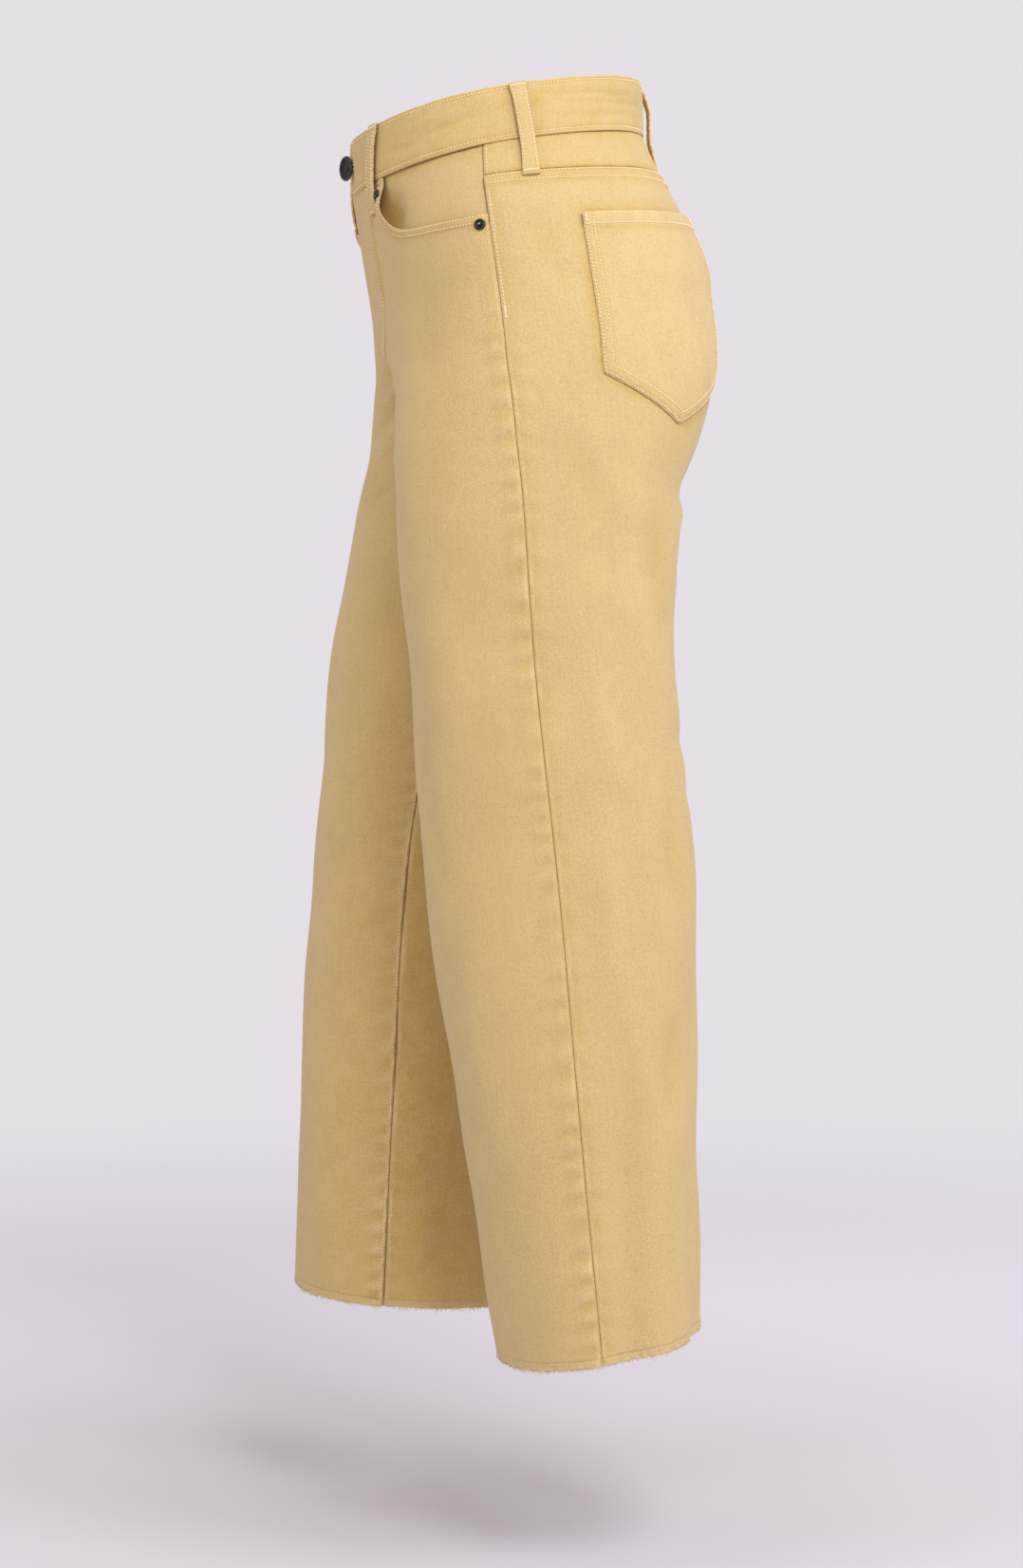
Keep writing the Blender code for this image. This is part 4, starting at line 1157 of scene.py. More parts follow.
def back_pocket(side):
    over = crowded((0, 0.006, 0.012, 0.020, 0.030, 0.042, 0.056), 46)
    down = np.concatenate([[0, 0.006, 0.013, 0.024, 0.038, 0.055, 0.070, 0.080, 0.092],
                           np.linspace(0.11, 0.93, 46),
                           [0.945, 0.958, 0.97, 0.98, 0.988, 0.994, 1.0]])
    points, _, rim, above, spot = pocket_point(side, over, down[:, None])
    nip = pocket_nip(side, spot.drop, over, rim)
    # Painted shadow under the hem's fold, and painted shade in the stitch channels and in the
    # hollows of the puckers. The crests pale as wear and as painted highlight.
    shadow_under_hem = bell(above - POCKET_HEM - 0.0020, 0.0022)
    deep_dye_and_shade = most(0.30 * bell(rim - 0.004, 0.005), 0.55 * shadow_under_hem,
                0.8 * np.clip(-nip, 0, 1), 0.9 * painted_channel_shade(rim, POCKET_ROWS))
    rubbed_and_highlight = most(bell(rim, 0.0014), bell(above, 0.0014), 0.25 + 0.6 * np.clip(nip, 0, 1))
    laid("back_pocket", side, spot, points, (deep_dye_and_shade, rubbed_and_highlight))


for half_side in (+1, -1):
    back_pocket(half_side)


# %% [markdown]
# ## Stitches
# Every seam here is topstitched with a golden thread a shade deeper than the cloth. A stitch on
# real cloth is a short bridge of thread whose two ends dive into the same holes as its
# neighbours', so each one is built as a little bent tube with narrow ends. Thousands of them are
# made at once as one mesh for each group, by working out rings of corners for all stitches
# together. A texture could only pretend the way they catch the light along an edge.

# %% Thread material and the stitch builder
def thread_finish():
    bench = Bench("golden_thread")
    place = bench.place()
    twist = bench.noise(place, 1400.0, 2.0, 0.6)
    tone = bench.noise(place, 60.0, 2.0, 0.5)
    colour = bench.colour(0.25 + 0.6 * tone, (0.860, 0.710, 0.430, 1), (0.760, 0.585, 0.300, 1))
    colour = bench.colour(0.35 * twist, colour, (0.90, 0.78, 0.54, 1))
    relief = bench.relief(twist, 0.4, 0.0001)
    return bench.set(Base_Color=colour, Roughness=0.62, Normal=relief, Specular_IOR_Level=0.3)


THREAD = thread_finish()
STITCH_LENGTH, STITCH_PITCH, THREAD_RADIUS = 0.0020, 0.0027, 0.00052
SIDE_ROW, INSEAM_ROW = 0.0026, 0.0019
BRIDGE = ((0.0, -0.00036, 0.45), (0.20, 0.00014, 0.85), (0.5, 0.00038, 1.0),
          (0.80, 0.00014, 0.85), (1.0, -0.00036, 0.45))
THREAD_SIDES, THREAD_FLATNESS = 5, 0.85
TACK_PITCH, TACK_WIDTH = 0.00052, 0.0019


def tube_faces(count, rings, sides):
    """Faces of many tubes whose corners follow ring by ring, with flat ends."""
    corner = np.arange(rings * sides).reshape(rings, sides)
    after = np.roll(corner, -1, axis=1)
    walls = np.stack([corner[:-1], after[:-1], after[1:], corner[1:]], axis=-1).reshape(-1, 4)
    ends = np.stack([corner[0, ::-1], corner[-1]])
    start = (np.arange(count) * rings * sides)[:, None, None]
    return (walls + start).reshape(-1, 4).tolist() + (ends + start).reshape(-1, sides).tolist()


def along_path(points, outs, pitch, length):
    """Starts, ends and outward directions of the stitches along a path on the cloth."""
    run = run_along(points)
    count = max(int((run[-1] - length) / pitch) + 1, 1)
    first = (run[-1] - (count - 1) * pitch - length) / 2 + np.arange(count) * pitch

    def at(place, values):
        return np.stack([np.interp(place, run, values[:, k]) for k in range(3)], axis=-1)

    return at(first, points), at(first + length, points), at(first + length / 2, outs)


def across_path(points, outs, width, pitch=TACK_PITCH):
    """Short threads lying crosswise over a path, close together, as in a bar-tack."""
    start, end, out = along_path(points, outs, pitch, 0.0004)
    middle, way = (start + end) / 2, end - start
    over = np.cross(out, way)
    over *= (width / 2 / np.linalg.norm(over, axis=-1))[:, None]
    lean = way * 0.6
    return middle - over - lean, middle + over + lean, out


def thread_piece(name, stitches, radius=THREAD_RADIUS):
    """One mesh from many stitches."""
    start, end, out = (np.concatenate([s[k] for s in stitches]) for k in range(3))
    way = end - start
    over = unit(np.cross(out, way))
    out = unit(np.cross(way, over))
    rings = []
    for part, rise, thick in BRIDGE:
        middle = start + way * part + out * rise
        for k in range(THREAD_SIDES):
            turn = math.tau * (k + 0.5) / THREAD_SIDES
            spoke = over * math.cos(turn) + out * THREAD_FLATNESS * math.sin(turn)
            rings.append(middle + spoke * radius * thick)
    corners = np.stack(rings, axis=1)
    new_piece(name, corners.reshape(-1, 3), tube_faces(len(corners), len(BRIDGE), THREAD_SIDES),
              THREAD)
    print(name, "stitches:", len(corners))


# %% [markdown]
# A row of stitches lies on the finished face of its piece, so each piece's own height function is
# asked for the points of the row.

# %% Places on the finished faces
def on_front(side, drop, share):
    drop, share = matched(drop, share)
    _, step = fly_shift(side, drop, share)
    spot = cloth_at(side, drop, share)
    return raised(spot, front_height(spot, share)[0] + step), spot.out


def placed_by(height):
    """Places on the faces that one height function shapes."""
    def place(side, drop, share):
        spot = cloth_at(side, drop, share)
        return raised(spot, height(spot)), spot.out
    return place


on_back, on_yoke = placed_by(panel_height), placed_by(yoke_height)


def on_band(around, drop):
    around, drop = matched(around, drop)
    spot = cloth_at(1, drop, around)
    lift = band_step(around) + LAID_GAP + band_height(around, drop)
    return raised(spot, lift), spot.out


def inner_share(side, drop, inner, back):
    """The share at a distance from the centre seam or inseam."""
    edge = np.abs(cloth_at(side, drop, np.full(np.shape(drop), 2.0 * back)).arc)
    return share_at(side, drop, (edge - inner) * (1 if back else -1))


def sew(points, outs):
    """Stitches of a plain row."""
    return along_path(points, outs, STITCH_PITCH, STITCH_LENGTH)


def inner_row(place, side, drops, inner, back):
    """A row beside a centre seam or an inseam."""
    return sew(*place(side, drops, inner_share(side, drops, inner, back)))


def side_row(place, side, drops):
    """A row on the back, close to the side seam."""
    return sew(*place(side, drops, share_at(side, drops, SIDE_ROW)))


# %% Waistband stitches
lap_end = -BAND_LAP_SHARE * 0.84
band_rows = [sew(*on_band(np.linspace(0.004 + lap_end, 3.985, 900), row)) for row in BAND_ROWS]
band_rows.append(sew(*on_band(np.full(40, lap_end), np.linspace(0.0034, 0.0386, 40))))
thread_piece("stitches_waistband", band_rows)


# %% Stitches of the fronts: pocket openings, fly and centre front
def scoop_row(side, away):
    """A row that keeps its distance from the scooped edge."""
    edge = path_through(SCOOP, np.linspace(0.398, 0.992, 160))
    width = np.abs(cloth_at(side, edge[:, 1], 0.0).arc)
    place = pairs(edge[:, 0] * width, edge[:, 1])
    way = unit(np.gradient(place, axis=0))
    moved = place + pairs(-way[:, 1], way[:, 0]) * away
    return sew(*on_front(side, moved[:, 1], moved[:, 0] / width))


def fly_row(inward):
    """A straight row down the fly that turns in a J to the centre seam."""
    turning = np.sin(np.linspace(0, math.pi / 2, 60))[1:]
    drops = np.concatenate([np.linspace(BELOW_BAND, FLY_TURN, 60),
                            FLY_TURN + (FLY_DROP - inward - FLY_TURN) * turning])
    return inner_row(on_front, 1, drops, fly_line(drops, inward, 0.002), 0)


RIVETS = (("front", 0.430, 0.057), ("side", 0.962, 0.1035))
RIVET_CLEARANCE = 0.0056


def clear_of_rivets(stitches):
    """Leaves out the stitches that would cross a rivet."""
    start, end, out = stitches
    keep = np.ones(len(start), bool)
    for side in (+1, -1):
        for _, share, drop in RIVETS:
            place, _ = on_front(side, drop, share)
            keep &= np.linalg.norm((start + end) / 2 - place, axis=-1) > RIVET_CLEARANCE
    return start[keep], end[keep], out[keep]


centre_drops = np.linspace(FLY_DROP + 0.002, CENTRE_END, 70)
front_rows = [scoop_row(side, away) for side in (+1, -1) for away in SCOOP_ROWS]
front_rows += [fly_row(inward) for inward in (0.0, 0.0058)]
front_rows += [inner_row(on_front, 1, centre_drops, inner, 0) for inner in CENTRE_ROWS]
thread_piece("stitches_fronts", [clear_of_rivets(row) for row in front_rows])

# %% Stitches of the yokes and the back
shares = np.linspace(1.012, 1.985, 400)
back_rows = [sew(*on_back(side, yoke_seam_drop(shares) + below, shares))
             for side in (+1, -1) for below in YOKE_ROWS]
for place, first, last, count in ((on_back, 0.082, CENTRE_END, 160),
                                  (on_yoke, BELOW_BAND, 0.0700, 30)):
    drops = np.linspace(first, last, count)
    back_rows += [inner_row(place, 1, drops, inner, 1) for inner in CENTRE_ROWS]
thread_piece("stitches_back", back_rows)

# %% Stitches of the side seams and inseams
seam_rows = []
for half_side in (+1, -1):
    seam_rows.append(side_row(on_back, half_side, np.linspace(0.078, 0.168, 90)))
    seam_rows.append(side_row(on_yoke, half_side, np.linspace(BELOW_BAND, 0.0640, 30)))
    leg_drops = np.linspace(CROTCH_DROP + 0.004, 0.922, 900)
    seam_rows.append(inner_row(on_front, half_side, leg_drops, INSEAM_ROW, 0))
thread_piece("stitches_seams", seam_rows)


# %% Stitches of the back pockets
def pocket_row(side, inset):
    """A row round a pocket's sides and pointed end, at a distance from its edge."""
    steps = np.linspace(0, 1, 80)
    left, top, rise = inset / POCKET_WIDTH, 0.001, inset / POCKET_SLOPE
    lowest = POCKET_TIP - POCKET_TOP - rise
    corner = pocket_lowest(left) - POCKET_TOP - rise
    drops, overs = [], []
    for start, end, over, past in ((top, corner, left, left), (corner, lowest, left, 0.5),
                                   (lowest, corner, 0.5, 1 - left),
                                   (corner, top, 1 - left, 1 - left)):
        fresh = steps if not drops else steps[1:]
        drops.append(start + (end - start) * fresh)
        overs.append(over + (past - over) * fresh)
    drops, overs = np.concatenate(drops), np.concatenate(overs)
    return sew(*pocket_point(side, overs, drops / (pocket_lowest(overs) - POCKET_TOP))[:2])


def pocket_hem_row(side):
    over = np.linspace(0.012, 0.988, 160)
    return sew(*pocket_point(side, over, 0.0085 / (pocket_lowest(over) - POCKET_TOP))[:2])


pocket_rows = [pocket_row(side, inset) for side in (+1, -1) for inset in (0.0016, 0.0075)]
thread_piece("stitches_pockets", pocket_rows + [pocket_hem_row(side) for side in (+1, -1)])

# %% Stitches of the belt loops, and the bar-tacks that take the strain
# A bar-tack is a close zigzag over a short line. It stands where a seam ends and could tear: the
# ends of the belt loops, the top corners of the back pockets, the end of the fly and the lower
# end of the side seam's stitching.
loop_rows, tacks = [], []
for loop_row in LOOPS:
    for over in (-LOOP_ROW, LOOP_ROW):
        loop_rows.append(sew(*loop_point(loop_row, np.linspace(0.0055, 0.0655, 60), over)))
    for drop in (0.0036, 0.0684):
        tacks.append(across_path(*loop_point(loop_row, drop, np.linspace(-0.42, 0.42, 24)), 0.0017))
thread_piece("stitches_loops", loop_rows)

for half_side in (+1, -1):
    for over in (0.016, 0.984):
        top = pocket_point(half_side, over, np.linspace(0.004, 0.058, 20))[:2]
        tacks.append(across_path(*top, TACK_WIDTH))
    drops = np.linspace(0.166, 0.175, 16)
    end = on_back(half_side, drops, share_at(half_side, drops, SIDE_ROW))
    tacks.append(across_path(*end, TACK_WIDTH))
for drop, first, last in ((FLY_DROP - 0.001, 0.0010, 0.0085), (FLY_TURN, 0.0455, 0.0385)):
    drops, line = np.full(16, drop), np.linspace(first, last, 16)
    tacks.append(across_path(*on_front(1, drops, inner_share(1, drops, line, 0)), TACK_WIDTH))
thread_piece("bar_tacks", tacks, 0.00032)


# %% [markdown]
# ## Seam allowances
# Inside the garment, the edges of the panels are turned in and overlocked along every seam. They
# also close the view through the fine gap of a seam, which would let light through. Each one is
# a narrow strip laid just behind the panels, along the side seams, the inseams, the centre seams,
# the yoke seams and the waist seam.

# %% Strips behind the seams
ALLOWANCE, ALLOWANCE_INSET = 0.0055, 0.0019


def behind(side, drop, share):
    """A place just inside the panels. Past a centre seam it lies on the other half."""
    spot = cloth_at(side, drop, share)
    crossed = (spot.share < 0) | (spot.share > 2)
    soft = np.where(crossed, soft_height(-side, spot.drop, spot.arc),
                    soft_height(side, spot.drop, spot.arc))
    return raised(spot, soft - ALLOWANCE_INSET)


def allowance(name, points, outward):
    """A strip whose rows run along the seam."""
    down, over = run_along(points), run_along(points, axis=1)
    flat = pairs(over, -down[:, None])
    ones = np.ones(points.shape[:2])
    piece = cloth_piece("allowance_" + name, points, flat, outward, DENIM, 0.0006,
                        (ones, 0 * ones))
    print(piece.name, "m:", round(float(down[-1]), 3))


LOWEST_ALLOWANCE = 0.9255
across = np.linspace(-ALLOWANCE, ALLOWANCE, 7)
for half_side in (+1, -1):
    drops = np.linspace(0.0430, LOWEST_ALLOWANCE, 240)[:, None]
    points = behind(half_side, drops, share_at(half_side, drops, across))
    allowance(sided("side", half_side), points, half_side)
    drops = np.linspace(CROTCH_DROP + 0.001, LOWEST_ALLOWANCE, 200)[:, None]
    width = ALLOWANCE * np.linspace(1, 0, 4)
    front, back = (behind(half_side, drops, inner_share(half_side, drops + 0 * w, w, is_back))
                   for is_back, w in enumerate((width, width[::-1])))
    points = np.concatenate([front, back[:, 1:]], axis=1)
    allowance(sided("inseam", half_side), points, -half_side)
    shares = np.linspace(1.003, 1.997, 70)[:, None]
    below = np.linspace(-0.0040, 0.0090, 6)
    points = behind(half_side, yoke_seam_drop(shares) + below, shares + 0 * below)
    allowance(sided("yoke", half_side), points, half_side)
for name, start, centre in (("centre_front", 0.150, 0.0), ("centre_back", 0.0440, 2.0)):
    drops = np.linspace(start, 0.2600, 60)[:, None]
    allowance(name, behind(1, drops, centre + across / np.abs(cloth_at(1, drops, centre).arc)), 1)
around = np.linspace(0.0, 3.97, 260)[:, None]
spot = cloth_at(1, np.linspace(0.0392, 0.0455, 5), around)
soft = np.where(spot.share < 2, soft_height(1, spot.drop, spot.arc),
                soft_height(-1, spot.drop, spot.arc))
inwards = 0.0012 + (0.0024 - soft) * ease((spot.drop - 0.040) / 0.003)
allowance("waist", raised(spot, band_step(spot.share) - inwards), -1)


# %% [markdown]
# ## Button and rivets
# The shank button and the rivets are pressed metal with a dark finish that has worn brighter on
# its edges. They are round, so each is a profile turned about an axis: the profile lists radius
# and height, and close pairs of points make small rounded edges. On its shank the button tips
# a little to the left. A rivet is a flat-topped ring with a bright nub.

# %% Dark metal and the turning helper
def dark_metal():
    bench = Bench("dark_gunmetal")
    place = bench.place()
    grain = bench.noise(place, 900.0, 3.0, 0.6)
    worn = bench.noise(place, 260.0, 3.0, 0.6)
    edge = bench.add("ShaderNodeNewGeometry", output=7)
    rub = bench.spread(edge, 0.515, 0.60) * bench.spread(worn, 0.35, 0.65)
    colour = bench.colour(rub, (0.030, 0.024, 0.021, 1), (0.20, 0.165, 0.135, 1))
    colour = bench.colour(0.35 * grain, colour, (0.055, 0.043, 0.036, 1))
    relief = bench.relief(grain, 0.25, 0.0001)
    return bench.set(Base_Color=colour, Metallic=0.85, Roughness=0.34 + 0.22 * worn, Normal=relief)


DARK_METAL = dark_metal()
BUTTON_PROFILE = ((0.0, 0.00395), (0.0011, 0.00400), (0.0022, 0.00392), (0.0029, 0.00365),
                  (0.0033, 0.00335), (0.0048, 0.00330), (0.0062, 0.00345), (0.0068, 0.00385),
                  (0.0073, 0.00440), (0.0080, 0.00478), (0.0087, 0.00476), (0.0092, 0.00440),
                  (0.0095, 0.00385), (0.00945, 0.00330), (0.0090, 0.00285), (0.0080, 0.00262),
                  (0.0050, 0.00255), (0.0036, 0.00250), (0.0031, 0.00200), (0.0029, 0.00060),
                  (0.0034, 0.0), (0.0, 0.0))
RIVET_PROFILE = ((0.0, 0.00215), (0.0005, 0.00212), (0.0010, 0.00185), (0.00125, 0.00130),
                 (0.0014, 0.00085), (0.0018, 0.00072), (0.0022, 0.00095), (0.0027, 0.00135),
                 (0.0033, 0.00142), (0.0039, 0.00118), (0.0043, 0.00070), (0.0045, 0.00010),
                 (0.0044, -0.0003), (0.0, -0.0003))


def turned(name, profile, count, middle, out, finish):
    """A profile of radius and height turned about an outward axis."""
    axis = Vector(out).normalized()
    first = axis.orthogonal().normalized()
    second = axis.cross(first)
    points = [Vector(middle) + axis * profile[0][1]]
    for radius, height in profile[1:-1]:
        for turn in math.tau * np.arange(count) / count:
            way = first * math.cos(turn) + second * math.sin(turn)
            points.append(Vector(middle) + axis * height + way * radius)
    points.append(Vector(middle) + axis * profile[-1][1])
    faces, end = [], 1 + (len(profile) - 3) * count
    for k in range(count):
        nxt = (k + 1) % count
        faces.append((0, 1 + k, 1 + nxt))
        for a in range(1, end, count):
            faces.append((a + k, a + count + k, a + count + nxt, a + nxt))
        faces.append((end + k, len(points) - 1, end + nxt))
    return new_piece(name, [tuple(p) for p in points], faces, finish)


# %% Button
BUTTON_TIP, BUTTON_SHANK = (0.45, 0.0, 0.03), 0.0012
points, outs = on_band(0.0, BAND_DROP / 2)
button = turned("button_turned", BUTTON_PROFILE, 64, points + outs * BUTTON_SHANK,
                outs + BUTTON_TIP, DARK_METAL)
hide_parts("button")
print("button, mm:", [round(1000 * v, 1) for v in button.dimensions])


# %% Rivets with their bright nubs
def plain_metal(name, scale, bright, dull, rough, rougher):
    bench = Bench(name)
    worn = bench.noise(bench.place(), scale, 3.0, 0.6)
    return bench.set(Base_Color=bench.colour(worn, bright, dull), Metallic=0.9,
                     Roughness=rough + rougher * worn)


NUB_METAL = plain_metal("bright_nub", 700.0, (0.52, 0.46, 0.38, 1), (0.30, 0.25, 0.20, 1),
                        0.28, 0.2)
NUB_PROFILE = ((0.0, 0.00232), (0.0003, 0.00230), (0.0006, 0.00216), (0.00075, 0.0019),
               (0.00075, 0.0016), (0.0, 0.0016))
for half_side in (+1, -1):
    for name, share, drop in RIVETS:
        name = sided("rivet_" + name, half_side)
        place = on_front(half_side, drop, share)
        rivet = turned(name + "_turned", RIVET_PROFILE, 40, *place, DARK_METAL)
        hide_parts(name)
        turned(name + "_nub", NUB_PROFILE, 20, *place, NUB_METAL)

# %% [markdown]
# ## Buttonhole
# The buttonhole is a slit with a round eye, cut through the band and edged with close upright
# stitches. The button hides most of it, and its end looks out on the side where the band pulls.
# The stitches stand crosswise along a long loop, and a narrow dark lens, a painted shadow, lies
# in the slit where the eye looks into the hollow band.

# %% Buttonhole
def buttonhole():
    middle, reach, level = 0.0045, 0.0125, BAND_DROP / 2
    width = abs(float(cloth_at(1, level, 0.0).arc))
    turn = np.linspace(0, math.tau, 120)
    rise = 0.0014 * np.sign(np.sin(turn)) * np.abs(np.sin(turn)) ** 0.6
    edge = on_band((middle + reach * np.cos(turn)) / width, level + rise)
    thread_piece("buttonhole_stitches", [across_path(*edge, 0.0015, pitch=0.00050)], 0.00025)
    count, rings = 40, []
    turn = np.linspace(0, math.tau, count, endpoint=False)
    for part in (1.0, 0.55, 0.1):
        place, out = on_band((middle + reach * 0.95 * part * np.cos(turn)) / width,
                             level + 0.0010 * part * np.sin(turn))
        rings.append(place + out * (0.00012 + 0.00006 * (1 - part)))
    faces = []
    for k in range(count):
        nxt = (k + 1) % count
        faces += [(a + k, a + nxt, a + count + nxt, a + count + k) for a in (0, count)]
    faces.append(tuple(range(2 * count, 3 * count)))
    # A painted shadow: the dark lens stands in for the shade inside the hollow band.
    bench = Bench("slit_shadow")
    tone = bench.noise(bench.place(), 900.0, 2.0, 0.5)
    dark = bench.set(Base_Color=bench.colour(tone, (0.05, 0.032, 0.012, 1), (0.11, 0.07, 0.028, 1)),
                     Roughness=0.9)
    new_piece("buttonhole_slit_shadow", np.concatenate(rings), faces, dark)


buttonhole()

# %% [markdown]
# ## Zip
# The zip lies closed behind the fly and shows only from inside. It has two woven tapes with a
# chain of small brass teeth between them, and a slider with its pull at the top, under the band.
# A tooth is a small block with softened edges, and the two rows take turns down the chain.

# %% Zip finishes
def tape_finish():
    bench = Bench("zip_tape")
    place = bench.place()
    rib = bench.add("ShaderNodeTexWave", {"bands_direction": "Z"},
                    {"Vector": place, "Scale": 420.0}, output=1)
    tone = bench.noise(place, 300.0, 2.0, 0.5)
    colour = bench.colour(rib * 0.4 + 0.3 * tone, (0.54, 0.38, 0.15, 1), (0.42, 0.28, 0.10, 1))
    relief = bench.relief(rib, 0.5, 0.0002)
    return bench.set(Base_Color=colour, Roughness=0.85, Normal=relief)


TAPE = tape_finish()
BRASS = plain_metal("zip_brass", 220.0, (0.46, 0.33, 0.15, 1), (0.27, 0.18, 0.08, 1), 0.30, 0.25)


# %% Zip tape, teeth and slider
TAPE_INSET = -(LAP_STEP + CLOTH_WALL + LAID_GAP)
TOOTH_PITCH = 0.00125


def zip_place(drop, across, inset):
    """A place behind the fly: drop, distance over from centre front, and height inwards."""
    drop, across = matched(drop, across)
    width = np.abs(cloth_at(1, drop, 0.0).arc)
    spot = cloth_at(1, drop, across / width)
    return spot.point + spot.out * inset


def soften(piece, width, segments):
    """Small rounded edges for a metal piece."""
    edge = piece.modifiers.new("edge", "BEVEL")
    edge.width, edge.segments = width, segments


def zip_tape():
    drops = np.linspace(BAND_DROP + 0.003, FLY_DROP - 0.016, 90)[:, None]
    across = np.concatenate([np.linspace(-0.0110, -0.0016, 9), [-0.0008, 0.0008],
                             np.linspace(0.0016, 0.0110, 9)])
    points = zip_place(drops, across, TAPE_INSET)
    flat = pairs(across, -drops)
    piece = cloth_piece("zip_tape_woven", points, flat, +1, TAPE, 0.0007)
    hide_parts("zip_tape")


def zip_chain():
    drops = np.arange(BAND_DROP + 0.0205, FLY_DROP - 0.017, TOOTH_PITCH)
    sides = np.where(np.arange(len(drops)) % 2, 1.0, -1.0)
    inner, outer, half, front = -0.00035, 0.0024, 0.00050, TAPE_INSET - 0.0011
    corners = np.stack([zip_place(drops + down, sides * across, front + depth)
                        for depth in (0.0, -0.0014)
                        for across, down in ((inner, -half), (outer, -half), (outer, half),
                                             (inner, half))], axis=1)
    block = np.array([(0, 1, 2, 3), (7, 6, 5, 4), (0, 4, 5, 1), (1, 5, 6, 2), (2, 6, 7, 3),
                      (3, 7, 4, 0)])
    faces = (block[None] + (np.arange(len(drops)) * 8)[:, None, None]).reshape(-1, 4)
    piece = new_piece("zip_teeth", corners.reshape(-1, 3), faces, BRASS)
    soften(piece, 0.00012, 2)
    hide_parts("zip_chain")
    print("zip teeth:", len(drops))


def zip_slider():
    """Slider: one thick shield-shaped plate over the chain, with a hanging pull."""
    def plate(name, lines, thick, inset):
        drops, halves = np.array(lines).T
        outline = np.concatenate([pairs(drops, halves), pairs(drops, -halves)[::-1]])
        front, back = (zip_place(*outline.T, depth) for depth in (inset, inset - thick))
        n = len(outline)
        faces = [tuple(range(n)), tuple(range(2 * n - 1, n - 1, -1))]
        faces += [(k, n + k, n + (k + 1) % n, (k + 1) % n) for k in range(n)]
        piece = new_piece(name, np.concatenate([front, back]), faces, BRASS)
        soften(piece, 0.00025, 3)
        return piece

    top = BAND_DROP + 0.0085
    body = plate("zip_slider_body", ((top, 0.0020), (top + 0.0012, 0.0036), (top + 0.0040, 0.0041),
                                     (top + 0.0068, 0.0034), (top + 0.0082, 0.0026)), 0.0026,
                 TAPE_INSET - 0.0009)
    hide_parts("zip_slider")
    plate("zip_pull", ((top + 0.0020, 0.0012), (top + 0.0060, 0.0014), (top + 0.0160, 0.0021),
                       (top + 0.0200, 0.0023), (top + 0.0215, 0.0016)), 0.0008, TAPE_INSET - 0.0042)


zip_tape()
zip_chain()
zip_slider()


# %% [markdown]
# ## Frayed hems
# The hems are cut and left raw. In the wash the level yarns at the edge work loose, and the
# upright ones stay behind as a short uneven fringe of paler, curled ends. The last few
# millimetres are therefore a strip whose lower edge wanders, two loose level yarns that weave in
# and out of it, and hundreds of thin bent tubes. The strip lies over the cut edge of the panels
# and sinks into them at its top, so that no line shows where it begins. Hair particles could do
# it too, but tubes stay as real geometry in every program that opens the model.

# %% Loose yarn material
def frayed_finish():
    bench = Bench("frayed_yarn")
    place = bench.place()
    fuzz = bench.noise(place, 1200.0, 3.0, 0.7)
    tone = bench.noise(place, 160.0, 3.0, 0.6)
    tone = bench.spread(tone, 0.3, 0.7)
    colour = bench.colour(tone, (0.66, 0.480, 0.205, 1), (0.80, 0.635, 0.345, 1))
    colour = bench.colour(0.4 * fuzz, colour, (0.70, 0.515, 0.240, 1))
    relief = bench.relief(fuzz, 0.5, 0.0002)
    return bench.set(Base_Color=colour, Roughness=0.92, Normal=relief, Sheen_Weight=0.15,
                     Specular_IOR_Level=0.2)


FRAYED = frayed_finish()
HEM_CLOTH = denim("hem_cloth", (0.42, 0.245, 0.060, 1.0), (0.74, 0.57, 0.30, 1.0))


def yarn_piece(name, side, paths, radii, sides):
    """Thin tubes along paths of points, all of one length."""
    way = unit(np.gradient(paths, axis=1))
    over = unit(np.cross(way, (0.31, 0.87, 0.39)))
    third = np.cross(way, over)
    turns = math.tau * np.arange(sides) / sides
    rings = paths[:, :, None] + radii[:, :, None, None] * (
        over[:, :, None] * np.cos(turns)[:, None] + third[:, :, None] * np.sin(turns)[:, None])
    faces = tube_faces(*paths.shape[:2], sides)
    new_piece(sided(name, side), rings.reshape(-1, 3), faces, FRAYED)
    print(sided(name, side), "threads:", len(paths), "faces:", len(faces))


# %% Strip, loose yarns and fringe of each hem
def hem_point(side, drop, share, lift):
    """A place at the hem, also a little below its edge."""
    spot = cloth_at(side, np.minimum(drop, HEM_DROP), share)
    point = raised(spot, lift + panel_height(spot))
    point[..., 2] -= np.maximum(drop - HEM_DROP, 0.0)
    return point


